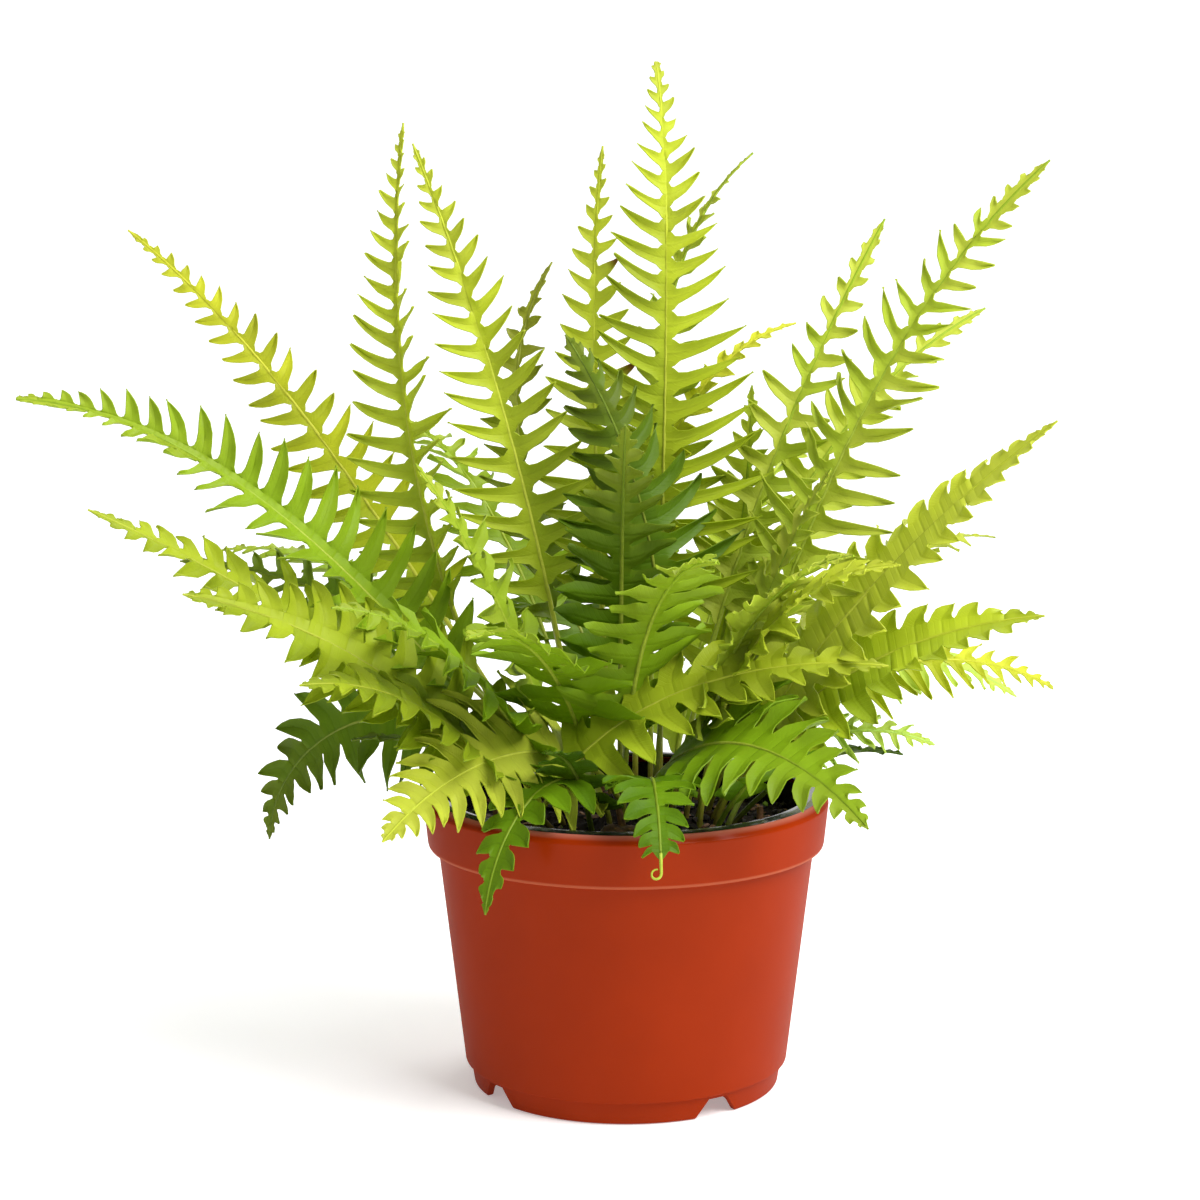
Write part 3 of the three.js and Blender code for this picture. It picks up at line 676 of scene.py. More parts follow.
class FERN_OT_soil(bpy.types.Operator):
    """Build the soil that fills the pot"""

    bl_idname = "fern.soil"
    bl_label = "Soil"

    def execute(self, context):
        edge = COLLAR_R - 2 * WALL
        top = SOIL_Z * MM
        sides = (
            (0, FLOOR_Z + CLEAR),
            (wall_radius(FLOOR_Z) - WALL - CLEAR, FLOOR_Z + CLEAR),
            (wall_radius(COLLAR_Z) - 2 * CLEAR, COLLAR_Z - 2 * WALL),
            (edge, COLLAR_Z + WALL + 2 * CLEAR),
        )
        surface = [(edge * (1 - k / SOIL_RINGS), top) for k in range(SOIL_RINGS + 1)]
        bm = bmesh.new()
        spun(bm, (*sides, *surface), SOIL_SIDES, 0)
        for vert in bm.verts:
            if vert.co.z - FOOT.z > top - MM:
                x, y = (vert.co.x - FOOT.x) / MM, (vert.co.y - FOOT.y) / MM
                rough = noise.turbulence(vert.co / (5 * MM), 4, False) - 0.6
                vert.co.z = on_soil(x, y, 0.9 * MM * rough).z
        bm.normal_update()
        add_piece("soil_bed", bm, (soil_finish(context.scene.fern_soil),), ("soil",), sharp=60)
        return {"FINISHED"}


def scatter(dice):
    """A place on the soil in millimetres from the pot's axis, evenly spread"""
    out = (COLLAR_R / MM - 6) * math.sqrt(dice.random())
    turn = dice.uniform(0, math.tau)
    return out * math.cos(turn), out * math.sin(turn)


def lay_bits(bm, count, dice, sizes, flatness):
    """Scatters jittered bits over the soil, each with its own shade"""
    shade = bm.verts.layers.float.get("shade") or bm.verts.layers.float.new("shade")
    for _ in range(count):
        size = dice.triangular(*sizes)
        made = bmesh.ops.create_icosphere(bm, subdivisions=1, radius=size)["verts"]
        own = dice.random()
        for vert in made:
            vert.co = vert.co * dice.uniform(0.7, 1.15)
            vert.co.y *= flatness[0]
            vert.co.z *= flatness[1]
            vert[shade] = own
        turn = Matrix.Rotation(dice.uniform(0, math.tau), 3, "Z")
        turn @= Matrix.Rotation(dice.gauss(0, 0.5), 3, "X")
        set_down(bm, made, turn, on_soil(*scatter(dice), 0.2 * size))


class FERN_OT_litter(bpy.types.Operator):
    """Scatter crumbs of compost, chips of bark and tufts of moss over the soil"""

    bl_idname = "fern.litter"
    bl_label = "Crumbs and chips"

    def execute(self, context):
        settings = context.scene.fern_soil
        dice = random.Random(11)
        crumbs = bmesh.new()
        lay_bits(crumbs, settings.crumbs, dice, (0.5 * MM, 2.2 * MM, 0.8 * MM), (0.8, 0.7))
        finish = crumb_finish("crumb", colour(settings.peat, 0.5), colour(settings.peat, 2.4), 0.9)
        add_piece("soil_crumbs", crumbs, (finish,))
        chips = bmesh.new()
        lay_bits(chips, settings.chips, dice, (1.2 * MM, 4.2 * MM, 1.8 * MM), (0.4, 0.22))
        moss = bmesh.new()
        lay_bits(moss, settings.moss, dice, (0.4 * MM, 1.8 * MM, 0.7 * MM), (0.9, 0.8))
        finish = crumb_finish("moss", colour(MOSS_LOW), colour(MOSS_HIGH), 0.8)
        add_piece("moss_tufts", moss, (finish,))
        finish = crumb_finish("chip", colour(settings.bark, 0.4), colour(settings.bark, 2.2), 0.75)
        add_piece("bark_chips", chips, (finish,))
        return {"FINISHED"}


# Rhizomes: middle in millimetres from the pot's axis, heading, dip, length, and where stubs stand
RHIZOMES = (
    ((5, -37), 14, -8, 27, (-7, 3)),
    ((41, -21), 68, 6, 24, (2,)),
    ((-40, -16), 118, -6, 26, (-4, 5)),
    ((-18, 43), 24, 5, 28, (-5, 6)),
)


def rhizome_radius(share):
    """Radius of a rhizome along its length, from -1 to 1: knotty and rounded at its ends"""
    knots = 1 + 0.09 * math.cos(7 * share) + 0.05 * math.sin(17 * share + 1)
    return RHIZOME_R * 0.9 * knots * max(0.0, 1 - share**6) ** 0.5


def long_rod(bm, sides, rings):
    """A rod of radius 1 from -1 to 1 along Z, cut into rings, in a mesh that is still empty"""
    rod(bm, sides, 1, 1, 2)
    long_edges = [edge for edge in bm.edges if abs(edge.verts[0].co.z - edge.verts[1].co.z) > 1]
    bmesh.ops.subdivide_edges(bm, edges=long_edges, cuts=rings)


def rhizome_mesh(length, stubs, dice):
    """A scaly creeping stem along +Y"""
    bm = bmesh.new()
    shade = bm.verts.layers.float.new("shade")
    half = 0.5 * length * MM
    long_rod(bm, 20, 26)
    for vert in bm.verts:
        share = vert.co.z
        out = rhizome_radius(0.985 * share)
        vert[shade] = 0.25 + 0.3 * noise.noise(Vector((vert.co.x, vert.co.y, 4 * share)) * 2)
        vert.co = Vector((vert.co.x * out, share * half, vert.co.y * out))
    for along in stubs:
        made = rod(bm, 12, STUB_R, 0.75 * STUB_R, 2 * RHIZOME_R)
        place = (0.3 * along * MM, along * MM, 1.2 * RHIZOME_R)
        set_down(bm, made, Matrix.Rotation(-0.05 * along, 3, "X"), place)
        for vert in made:
            vert[shade] = 0.6
    for _ in range(SCALES):
        share = dice.uniform(-0.93, 0.93)
        turn = dice.uniform(-0.2, math.pi + 0.2)
        add_scale(bm, shade, share * half, turn, rhizome_radius(share), dice)
    bmesh.ops.recalc_face_normals(bm, faces=bm.faces)
    return bm


def add_scale(bm, shade, along, turn, out, dice):
    """A thin pointed scale that lies back along the stem"""
    size = dice.uniform(1.1, 2.4) * MM
    made = rod(bm, 4, 0.32 * size, 0.0, size)
    own = dice.random()
    for vert in made:
        vert.co.y *= 0.25
        vert[shade] = own
    tip_back = Matrix.Rotation(math.radians(dice.uniform(66, 84)), 3, "X")
    around = Matrix.Rotation(0.5 * math.pi - turn, 3, "Y")
    set_down(bm, made, around @ tip_back, (out * math.cos(turn), along, out * math.sin(turn)))


class FERN_OT_rhizomes(bpy.types.Operator):
    """Build the scaly rhizomes that creep at the surface of the soil"""

    bl_idname = "fern.rhizomes"
    bl_label = "Rhizomes"

    def execute(self, context):
        bark = context.scene.fern_soil.bark
        finish = crumb_finish("rhizome", colour(bark, 0.5), colour(bark, 2.6), 0.7)
        for number, (place, heading, dip, length, stubs) in enumerate(RHIZOMES, 1):
            bm = rhizome_mesh(length, stubs, random.Random(number))
            turn = Matrix.Rotation(math.radians(heading - 90), 3, "Z")
            turn @= Matrix.Rotation(math.radians(dip), 3, "X")
            set_down(bm, bm.verts, turn, on_soil(*place, RHIZOME_RISE))
            add_piece(f"rhizome_{number}_scaly", bm, (finish,), (f"rhizome_{number}",), sharp=50)
        return {"FINISHED"}


# Fronds


class Frond:
    """One row of the frond table: where it starts, how it runs and what its blade is like.

    Place and lengths are in millimetres from the pot's axis, angles in degrees, as in the solids. Its
    sun, the light painted into its colour, goes from -1 for a frond painted dark in shade to 1 for one
    painted bright, and its coil is the share of its line that is curled up at the tip.
    """

    def __init__(self, at, heading, lift, droop, length, width, tone, habit="plain", pairs=10, bare=0.3,
                 power=1.5, side=0, roll=0, fold=0, painted_light=0.0, coil=0.0):
        self.heading = heading
        self.lift = lift
        self.droop = droop
        self.length = length * MM
        self.width = width * MM
        self.tone = tone
        self.pairs = pairs
        self.bare = bare
        self.power = power
        self.side = side
        self.roll = math.radians(roll)
        self.fold = math.radians(fold)
        self.habit = HABITS[habit]
        self.painted_light = 0.5 + 0.5 * painted_light
        self.coil = coil
        self.leafy = 1 - COIL_FREE * coil
        self.line = [on_soil(*at)]
        for k in range(CURVE_STEPS):
            ahead = self.direction((k + 0.5) / CURVE_STEPS) * (self.length / CURVE_STEPS)
            self.line.append(self.line[k] + ahead)

    def angles(self, s):
        u = clamped(s)
        heading = self.heading + self.side * u * u
        return math.radians(heading), math.radians(self.lift - self.droop * u**self.power)

    def direction(self, s):
        h, e = self.angles(s)
        return Vector((math.cos(e) * math.cos(h), math.cos(e) * math.sin(h), math.sin(e)))

    def point(self, s):
        if s < 0:
            return self.line[0] + self.direction(0) * (s * self.length)
        if s > 1:
            return self.line[-1] + self.direction(1) * ((s - 1) * self.length)
        if s > 1 - self.coil:
            return self.curled((s - 1 + self.coil) / self.coil)
        at = min(s * CURVE_STEPS, CURVE_STEPS - 1e-6)
        k = int(at)
        return self.line[k].lerp(self.line[k + 1], at - k)

    def curled(self, t):
        """A point of the curled tip, which winds inwards in the blade's own plane"""
        start = 1 - self.coil
        across, _ = self.axes(start)
        turn = COIL_TURN * t
        radius = self.coil * self.length / COIL_TURN * (1.15 - 0.6 * t)
        ahead = self.direction(start) * (radius * math.sin(turn))
        return self.point(start - 1e-6) + ahead - across * (radius * (1 - math.cos(turn)))

    def axes(self, s):
        """The blade's across and upward directions, turned about the line by its roll"""
        h, e = self.angles(s)
        across = Vector((-math.sin(h), math.cos(h), 0))
        up = Vector((-math.sin(e) * math.cos(h), -math.sin(e) * math.sin(h), math.cos(e)))
        cos, sin = math.cos(self.roll), math.sin(self.roll)
        return across * cos + up * sin, up * cos - across * sin

    def share(self, s):
        return clamped((s - self.bare) / (1 - self.bare))

    def reach(self, s):
        share = self.share(s)
        shoulder = SHOULDER + (1 - SHOULDER) * min(1.0, share / SHOULDER_END)
        return self.width * shoulder * (1 - share**TAPER_POWER)

    def wing(self, s):
        """How far the blade stays uncut: its habit's share, and nearly all of it at the tip"""
        if s < self.bare:
            return STIPE_R
        closed = clamped((self.share(s) - self.habit.tail) / (1 - self.habit.tail))
        uncut = self.habit.wing + (0.8 - self.habit.wing) * closed
        return max(TIP_R, uncut * self.reach(s))

    def keel(self, s):
        return STIPE_R + (TIP_R - STIPE_R) * clamped(s)

    def place(self, s, side, u, rise, bend=0.0):
        """A point of the blade: s along the line, u out to one side, rise off its middle surface"""
        b, n = self.axes(s)
        root = min(u, self.wing(s))
        fold = self.fold + bend if u > root else 0.0
        across = root + (u - root) * math.cos(fold) - rise * math.sin(fold)
        up = (u - root) * math.sin(fold) + rise * math.cos(fold)
        return self.point(s) + b * (side * across) + n * up


# The fronds of the solids, in their order
FRONDS = (
    # standing up from the middle
    Frond((11, 7), 66, 90, 16, 243, 34, "young", "lance", side=50, bare=0.24, pairs=17, painted_light=-0.1),
    Frond((-24, 3), 180, 55, -42, 228, 25, "young", "lance", power=0.8, roll=-125, fold=34, pairs=16,
          painted_light=0.3),
    Frond((-12, 10), 158, 79, 13, 221, 25, "young", "lance", roll=-70, fold=8, pairs=14, painted_light=0.3),
    Frond((-13, 21), 160, 80, 25, 186, 20, "olive", "loose", side=-130),
    Frond((-5, 18), 120, 85, 8, 214, 21, "young", "lance", side=-60, pairs=13, painted_light=0.4),
    Frond((8, 24), 80, 89, 50, 220, 25, "mid", "loose", power=4, side=-80, pairs=13, painted_light=0.85),
    Frond((8, -6), 185, 98, 42, 158, 32, "dark", power=1.3, roll=-85, fold=-28, bare=0.36, painted_light=-0.3),
    # leaning right
    Frond((15, 5), 22, 78, 19, 204, 21, "mid", "loose", power=1, roll=60, pairs=12, painted_light=1),
    Frond((26, 1), -9, 72, 30, 237, 27, "mid", "loose", power=2.4, roll=66, pairs=16, painted_light=1),
    Frond((3, 14), 15, 90, 80, 178, 14, "yellow", power=3, roll=20, bare=0.45),
    Frond((18, 14), 28, 72, -18, 138, 20, "mid", roll=40, painted_light=1),
    Frond((24, 9), 24, 79, 56, 199, 21, "mid", "loose", roll=50, pairs=12, painted_light=1),
    Frond((28, -6), -16, 66, 28, 170, 30, "young", "joined", power=0.8, roll=30, bare=0.2, pairs=13, painted_light=1),
    Frond((28, -14), -12, 76, 70, 132, 29, "young", "joined", power=0.7, roll=30, bare=0.2, painted_light=-0.35),
    Frond((33, 3), 4, 71, 102, 130, 21, "yellow", "lance", power=1, roll=40, painted_light=-0.2),
    Frond((26, 18), 16, 68, 106, 132, 21, "pale", "loose", power=1, roll=40, painted_light=0.6),
    Frond((31, -21), -8, 74, 98, 82, 18, "pale", "loose", power=1, roll=30, pairs=8, painted_light=0.4),
    # over the front of the rim
    Frond((4, -12), -54, 78, 110, 127, 31, "mid", "broad", power=0.6, roll=30, bare=0.2, painted_light=-0.2),
    Frond((-1, -9), -138, 84, 124, 111, 35, "young", "broad", power=0.55, roll=-35, bare=0.22, pairs=12,
          painted_light=0.8),
    Frond((-5, -23), -124, 90, 170, 93, 18, "mid", "round", power=0.7, bare=0.24, pairs=8, painted_light=-0.7),
    Frond((6, -27), -86, 75, 160, 90, 16, "mid", "round", power=1, bare=0.24, pairs=8, painted_light=-0.8, coil=0.1),
    # leaning left
    Frond((-27, 9), 170, 62, 150, 128, 25, "dark", "broad", power=1.1, roll=-70, painted_light=-0.35),
    Frond((-28, -6), 197, 50, 24, 176, 29, "young", "crowded", power=0.8, roll=-30, bare=0.2, pairs=13,
          painted_light=-0.4),
    Frond((-24, -16), 200, 50, 38, 144, 31, "young", "broad", roll=-50, fold=20, bare=0.2, pairs=11,
          painted_light=-0.5),
    Frond((-19, -3), 188, 50, 48, 225, 31, "mid", power=3, roll=-40, fold=36, bare=0.24, pairs=16, painted_light=0.2),
    Frond((-20, 14), 165, 56, 20, 240, 20, "yellow", "lance", power=3, roll=-66, pairs=15, painted_light=-0.15),
    Frond((-22, 21), 156, 62, 64, 170, 21, "dark", "loose", power=0.8, roll=-60, painted_light=-0.2),
    # across and towards the front
    Frond((-29, -32), -3, 88, 94, 134, 26, "young", "blunt", power=0.55, roll=30, bare=0.2, painted_light=-0.25),
    Frond((-9, -4), -112, 68, 70, 128, 29, "mid", "crowded", power=1.2, bare=0.22),
    Frond((-1, -19), -66, 86, 84, 126, 28, "mid", "crowded", power=1.6, bare=0.24, painted_light=0.1),
    Frond((19, -12), -46, 79, 67, 122, 28, "mid", "crowded", roll=20, bare=0.24, painted_light=1),
    Frond((-20, -14), -140, 64, 56, 122, 29, "mid", "crowded", roll=-20, bare=0.22, painted_light=-0.1),
    Frond((-26, -24), -148, 58, 60, 106, 27, "young", "blunt", roll=-20, bare=0.22, painted_light=-0.5),
    Frond((23, -21), -30, 84, 80, 122, 27, "young", "blunt", roll=20, bare=0.24, painted_light=0.3),
    Frond((-2, 2), -88, 84, 40, 140, 25, "dark", "crowded", bare=0.3),
    Frond((-17, -8), 200, 74, 20, 126, 24, "mid", "crowded", roll=-40, bare=0.24, painted_light=0.45),
    Frond((23, -3), -14, 76, 16, 122, 24, "mid", "crowded", roll=30, bare=0.24, painted_light=1),
    # young and low ones by the rim
    Frond((26, -30), -40, 62, 70, 62, 15, "mid", "round", bare=0.2, pairs=6, painted_light=-0.9),
    Frond((-10, -33), -110, 66, 60, 56, 14, "dark", "round", bare=0.2, pairs=6, painted_light=-0.9),
    Frond((33, -12), -20, 50, 60, 66, 16, "dark", "round", bare=0.2, pairs=6, painted_light=-0.9),
    Frond((-34, -4), 200, 52, 60, 66, 16, "dark", "round", bare=0.2, pairs=6, painted_light=-0.4),
    # behind
    Frond((-12, 29), 122, 64, 60, 190, 26, "mid", "loose", pairs=11, painted_light=0.2),
    Frond((0, 31), 92, 60, 66, 180, 26, "mid", "loose", pairs=11, bare=0.12, painted_light=0.2),
    Frond((14, 32), 66, 62, 62, 185, 26, "mid", "loose", pairs=11, bare=0.08, painted_light=0.6),
    Frond((23, 26), 40, 54, 66, 172, 24, "dark", "loose", painted_light=1),
    Frond((-26, 30), 148, 54, 70, 172, 24, "mid", painted_light=0.2),
    Frond((-4, 25), 108, 70, 150, 150, 22, "dark"),
    Frond((20, 21), 55, 68, 150, 148, 22, "mid", "loose", painted_light=1),
)


def lobe_width(a, fill, full, waist):
    """Half the width of a lobe along its length, as a share of half the pitch"""
    body = fill * max(0.0, 1 - a**full) ** 0.9 * (1 - waist * (1 - a) ** 3)
    return body + (1 - fill * (1 - waist)) * math.exp(-((a / SINUS) ** 2))


class Lobe:
    """One lobe of a blade, which runs from the rachis out to its tip"""

    def __init__(self, frond, near, far, side, dice):
        self.frond = frond
        self.near = near
        self.far = far
        self.side = side
        self.middle = 0.5 * (near + far)
        share = frond.share(self.middle)
        unruly = frond.habit.unruly
        whole = (1 + WING_SHARE) * frond.reach(self.middle)
        self.long = (whole - frond.wing(self.middle)) * (1 - 0.1 * unruly * dice.random())
        sweep = LOBE_SWEEP + (TIP_SWEEP - LOBE_SWEEP) * share
        self.sweep = math.radians(sweep + unruly * dice.uniform(-4, 4))
        self.bend = math.radians(unruly * dice.gauss(0, 5))
        self.twist = unruly * dice.gauss(0, 0.16)
        self.curl = unruly * dice.gauss(-0.05, 0.06)
        self.phase = dice.uniform(0, math.tau)
        self.shade = dice.random()
        self.half = 0.5 * (far - near) * frond.length
        self.ripple = unruly * min(1.0, self.long / FULL_LOBE)
        self.fill = frond.habit.fill * dice.uniform(0.9, 1.05)
        # lobes get sharper towards the tip of the blade
        self.full = frond.habit.full + (1.4 - frond.habit.full) * share**2

    def point(self, row, b, wave, rise):
        """The point at a row from the rachis and b from -1 at the near margin to 1 at the far one"""
        frond = self.frond
        s = self.middle + 0.5 * b * (self.far - self.near)
        if row == 0:
            return frond.place(s, self.side, 0.0, rise)
        a = LOBE_ROWS[row]
        pleat = rise + wave * self.ripple * b * b
        if a == 0:
            return frond.place(s, self.side, frond.wing(s), pleat)
        out = self.long * math.sin(self.sweep)
        ahead = min(1.25 * self.long * math.cos(self.sweep), (LAST_POINT - self.middle) * frond.length)
        lean = math.atan2(1.56 * ahead * a**0.56, out) * min(1.0, a / 0.3)
        half = self.half * lobe_width(a, self.fill, self.full, frond.habit.waist)
        along = ahead * a**1.56 + b * half * math.cos(lean)
        across = max(0.4 * out * a, out * a - b * half * math.sin(lean))
        hold = min(1.0, 2 * a)
        own = pleat + self.long * self.curl * a * a + b * half * self.twist * a
        own += abs(b) * half * 0.3 * hold
        own += wave * self.ripple * abs(b) * math.sin(self.phase + 7 * a + b) * hold
        wing = frond.wing(s) * (1 - hold) + frond.wing(self.middle) * hold
        s = self.middle + along / frond.length
        return frond.place(s, self.side, wing + across, own, self.bend * hold)


def lay_sheet(bm, layers, rows, columns, point, values):
    """Lays a grid whose vertices go to point(row, b), with its place on the lobe and the frond's values, its
    painted light among them
    """
    uv, growth = layers
    made = bmesh.ops.create_grid(bm, x_segments=rows, y_segments=columns, size=1)["verts"]
    spots = {}
    for vert in made:
        row, b = round(0.5 * (vert.co.x + 1) * rows), vert.co.y
        spots[vert] = (0.5 + 0.5 * b, LOBE_ROWS[row] if rows == len(LOBE_ROWS) - 1 else row / rows)
        vert.co = point(row, b)
        vert[growth] = values
    for face in {face for vert in made for face in vert.link_faces}:
        for loop in face.loops:
            loop[uv].uv = spots[loop.vert]
    return made


def lay_lobes(bm, frond, marks, side, settings, dice, layers):
    """The lobes of one side of a blade, joined to each other along its wing"""
    verts = []
    for near, far in zip(marks, marks[1:]):
        lobe = Lobe(frond, near, far, side, dice)
        values = (frond.share(lobe.middle), lobe.shade, 0.0, frond.painted_light)
        verts += lay_sheet(bm, layers, len(LOBE_ROWS) - 1, LOBE_COLUMNS,
                           lambda row, b: lobe.point(row, b, settings.wave, 0.5 * settings.thickness), values)
    bmesh.ops.remove_doubles(bm, verts=verts, dist=MERGE)


def lay_end(bm, frond, last, settings, layers):
    """The pointed end of the blade, past its last pair of lobes"""
    root = frond.wing(last) + 0.5 * MM
    tip = min(LAST_POINT, frond.leafy + 0.03)

    def point(row, b):
        t = row / END_ROWS
        wide = root * (1 - t) ** 0.8 + 0.05 * MM
        side = 1 if b >= 0 else -1
        s = last - 0.01 + (tip + 0.01 - last) * t
        return frond.place(s, side, abs(b) * wide, 0.5 * settings.thickness)

    lay_sheet(bm, layers, END_ROWS, 2, point, (1.0, 0.3, 0.0, frond.painted_light))


def thicken(bm, growth, leaf, thickness):
    """Gives the sheets of a blade their thickness, downwards, and marks their underside"""
    bmesh.ops.recalc_face_normals(bm, faces=leaf)
    bm.normal_update()
    grown = bmesh.ops.extrude_face_region(bm, geom=leaf, use_keep_orig=True)["geom"]
    for vert in [item for item in grown if isinstance(item, bmesh.types.BMVert)]:
        vert[growth] = (vert[growth][0], vert[growth][1], 1.0, vert[growth][3])
        vert.co -= vert.normal * thickness


def add_rachis(bm, frond, growth, rings):
    """The round stipe below the blade, which goes on as its midrib, in a mesh that is still empty"""
    long_rod(bm, RACHIS_SIDES, rings)
    low = (1 - HOLE_DEPTH) * MM / frond.length
    for vert in bm.verts:
        s = low + (LAST_POINT - low) * 0.5 * (vert.co.z + 1)
        b, n = frond.axes(s)
        thick = 0.96 * frond.keel(s) * (1.0 if s < frond.bare else 1.0 - 0.25 * frond.share(s))
        vert[growth] = (max(0.0, s), 0.5, 0.0, frond.painted_light)
        if s > frond.leafy:
            thick = 0.6 * MM * (1.1 - s) / (1.1 - frond.leafy)
            vert[growth] = (0.4, 0.5, 0.0, 0.8)
            b = (frond.point(s + 0.001) - frond.point(s - 0.001)).cross(n).normalized()
        vert.co = frond.point(s) + b * (thick * vert.co.x) + n * (thick * vert.co.y)
    for face in bm.faces:
        face.material_index = 1


def frond_mesh(frond, settings, dice):
    """Leaf lobes with a thickness, and the stipe and rachis that carry them"""
    bm = bmesh.new()
    layers = (bm.loops.layers.uv.new("lobe"), bm.verts.layers.float_color.new("growth"))
    add_rachis(bm, frond, layers[1], COIL_RINGS if frond.coil else 3 * frond.pairs)
    stem = set(bm.faces)
    pairs = round(frond.pairs * frond.habit.ratio * settings.lobes)
    last = min(LAST_NOTCH, frond.leafy)
    shares = [1 - (1 - k / pairs) ** PITCH_POWER for k in range(pairs + 1)]
    right = [frond.bare + (last - frond.bare) * share for share in shares]
    left = [0.5 * (near + far) for near, far in zip(right, right[1:])] + [last]
    lay_lobes(bm, frond, right, 1, settings, dice, layers)
    lay_lobes(bm, frond, left, -1, settings, dice, layers)
    lay_end(bm, frond, right[-1], settings, layers)
    thicken(bm, layers[1], [face for face in bm.faces if face not in stem], settings.thickness)
    bmesh.ops.recalc_face_normals(bm, faces=bm.faces)
    keep_inside(bm)
    return bm


def keep_inside(bm):
    """Holds the outermost lobe tips inside the frame's box"""
    low, high = CAD_BOX
    for vert in bm.verts:
        vert.co = Vector([clamped(*value) for value in zip(vert.co, low, high)])


class FERN_OT_fronds(bpy.types.Operator):
    """Build every frond: a stipe, a rachis, and lobes with veins"""

    bl_idname = "fern.fronds"
    bl_label = "Fronds"

    def execute(self, context):
        settings = context.scene.fern_fronds
        leaves = {tone: leaf_finish(tone, getattr(settings, tone)) for tone in TONES}
        stems = {tone: stem_finish(tone, getattr(settings, tone)) for tone in TONES}
        for number, frond in enumerate(FRONDS, 1):
            bm = frond_mesh(frond, settings, random.Random(100 + number))
            add_piece(f"frond_{number:02d}_leafy", bm, (leaves[frond.tone], stems[frond.tone]),
                      (f"frond_{number:02d}",), sharp=55)
        return {"FINISHED"}


# Stage


def floor_finish():
    """White paper: it glows a little, more so far from the plant, so that it stays even"""
    finish = Finish("floor")
    tone = finish.spread(finish.grain(0.3, 0), 0.3, 0.7)
    base = finish.mixed(tone, colour((0.84, 0.84, 0.835)), colour((0.87, 0.87, 0.865)))
    place = finish.place()
    away = finish.node("ShaderNodeVectorMath", {0: place}, operation="LENGTH").outputs["Value"]
    sideways, _, _ = finish.node("ShaderNodeSeparateXYZ", {"Vector": place}).outputs
    # Painted light: the paper's glow fades off to either side of the plant, so less of it reaches the pot
    # from the sides
    beside = finish.spread(finish.math("ABSOLUTE", sideways), 0.85, 1.5, 1, 0.2)
    glow = finish.times(finish.spread(away, 0.3, 2.0, 0.32, 0.55), beside)
    shader = finish.surface({
        "Base Color": base, "Roughness": 0.8, "Emission Color": colour((1, 1, 1)), "Emission Strength": glow})
    finish.material.cycles.emission_sampling = "NONE"
    return finish.close(shader)


def paper_height(y):
    """How the paper runs: flat, then up behind the plant in a quarter circle, as (place, height)"""
    turn = clamped((y - PAPER_FLAT) / PAPER_BEND_R, high=0.5 * math.pi)
    up = max(0.0, y - PAPER_FLAT - 0.5 * math.pi * PAPER_BEND_R)
    return min(y, PAPER_FLAT) + PAPER_BEND_R * math.sin(turn), PAPER_BEND_R * (1 - math.cos(turn)) + up


def aimed(name, data, place, height):
    """A light or camera at a place from the pot's foot, turned to a height over that foot"""
    made = linked(name, data)
    made.location = FOOT + Vector(place)
    aim = FOOT + Vector((0, 0, height)) - made.location
    made.rotation_euler = aim.to_track_quat("-Z", "Y").to_euler()
    return made


# Soft square lights: where they stand from the pot's foot, and how wide they are
LIGHTS = {
    "key": ((0.85, -0.6, 1.3), 1.1),
    "back": ((0.6, 0.95, 1.25), 0.9),
    "fill": ((-1.0, -0.55, 0.6), 0.9),
}
LIGHT_AIM = 0.15


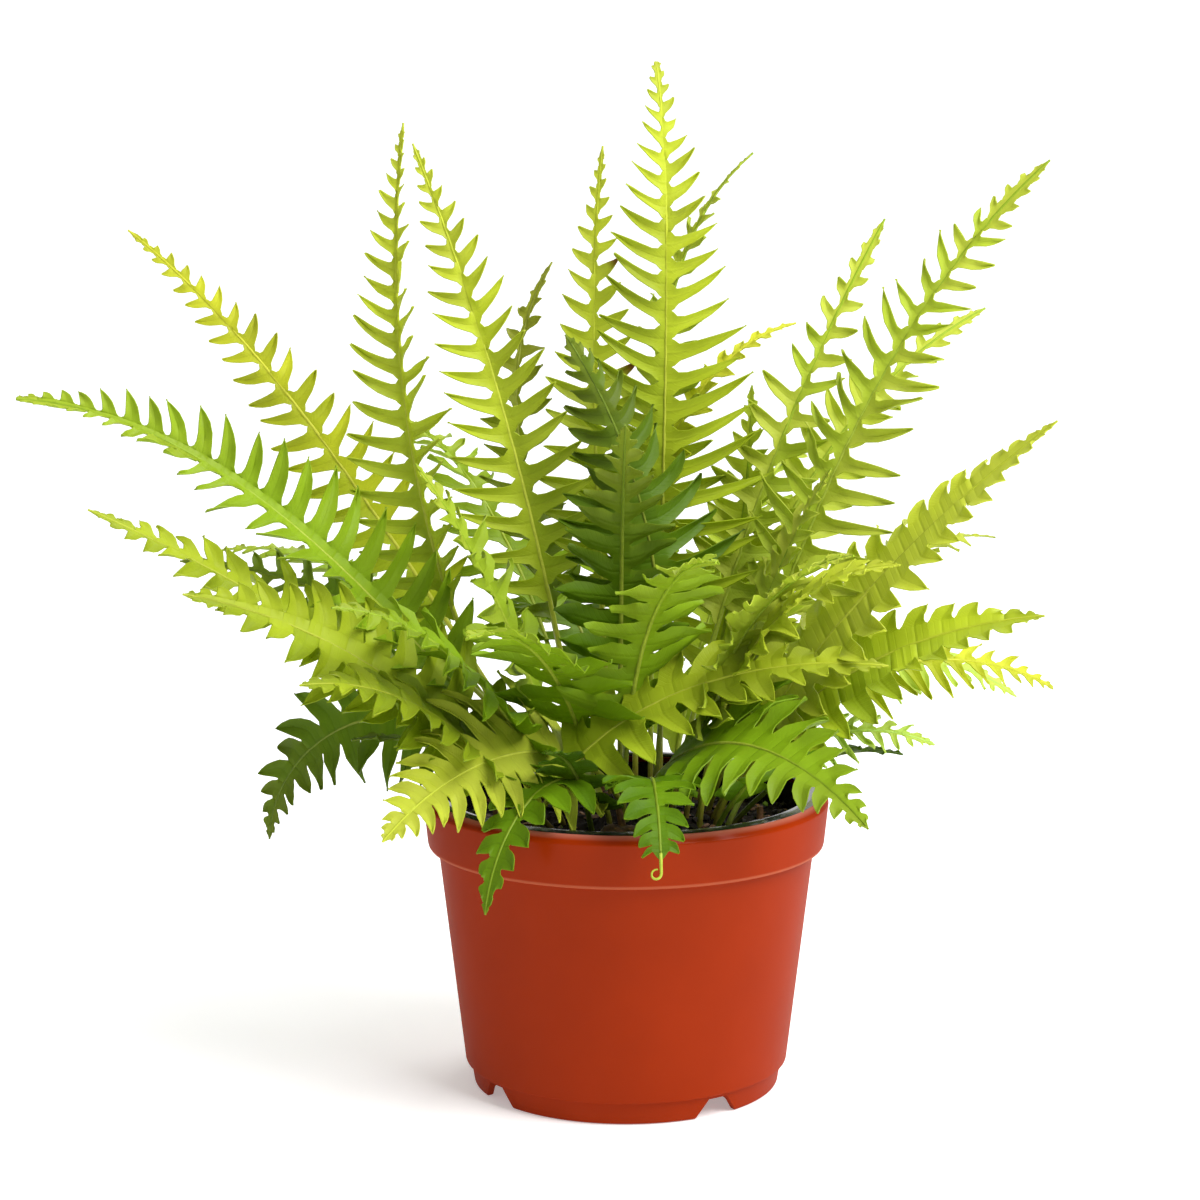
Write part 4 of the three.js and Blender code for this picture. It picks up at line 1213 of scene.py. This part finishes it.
class FERN_OT_stage(bpy.types.Operator):
    """Set the floor, the soft lights and the camera"""

    bl_idname = "fern.stage"
    bl_label = "Stage"

    def execute(self, context):
        settings = context.scene.fern_stage
        scene = context.scene
        bm = bmesh.new()
        bmesh.ops.create_grid(bm, x_segments=4, y_segments=120, size=PAPER_SIZE)
        for vert in bm.verts:
            back, up = paper_height(vert.co.y)
            vert.co = FOOT + Vector((vert.co.x, back, up - 0.0002))
        floor = linked("floor", mesh_of("floor", bm, (floor_finish(),)))

        scene.world = scene.world or bpy.data.worlds.new("studio")
        scene.world.use_nodes = True
        sky = scene.world.node_tree.nodes["Background"]
        sky.inputs["Color"].default_value = colour((1.0, 1.0, 1.0))
        sky.inputs["Strength"].default_value = settings.sky
        for name, (place, size) in LIGHTS.items():
            data = bpy.data.lights.new(name, "AREA")
            data.size = size
            data.energy = getattr(settings, name)
            aimed(name, data, place, LIGHT_AIM)

        data = bpy.data.cameras.new("camera")
        data.lens = settings.lens
        data.sensor_width = 36
        data.shift_x = settings.shift
        place = (0, -settings.camera_back, settings.camera_up)
        scene.camera = aimed("camera", data, place, settings.aim_up)
        scene.view_settings.view_transform = "Standard"
        return {"FINISHED"}


# Panel and registration


class FERN_PT_panel(bpy.types.Panel):
    """Lists the fern's pieces in the sidebar"""

    bl_idname = "FERN_PT_panel"
    bl_label = "Fern"
    bl_space_type = "VIEW_3D"
    bl_region_type = "UI"
    bl_category = "Fern"

    def draw(self, context):
        for name in ("pot", "soil", "litter", "rhizomes", "fronds", "stage"):
            box = self.layout.box()
            box.operator(f"fern.{name}")
            settings = getattr(context.scene, f"fern_{name}", None)
            if settings:
                for key in settings.__annotations__:
                    box.prop(settings, key)


GROUPS = {"fern_pot": PotSettings, "fern_soil": SoilSettings, "fern_fronds": FrondSettings,
          "fern_stage": StageSettings}
CLASSES = (*GROUPS.values(), FERN_OT_pot, FERN_OT_soil, FERN_OT_litter, FERN_OT_rhizomes, FERN_OT_fronds,
           FERN_OT_stage, FERN_PT_panel)


def register():
    for item in CLASSES:
        bpy.utils.register_class(item)
    for name, group in GROUPS.items():
        setattr(bpy.types.Scene, name, PointerProperty(type=group))


def unregister():
    for name in GROUPS:
        delattr(bpy.types.Scene, name)
    for item in reversed(CLASSES):
        bpy.utils.unregister_class(item)


def main():
    register()
    bpy.ops.fern.pot()
    bpy.ops.fern.soil()
    bpy.ops.fern.litter()
    bpy.ops.fern.rhizomes()
    bpy.ops.fern.fronds()
    bpy.ops.fern.stage()


if __name__ == "__main__":
    main()
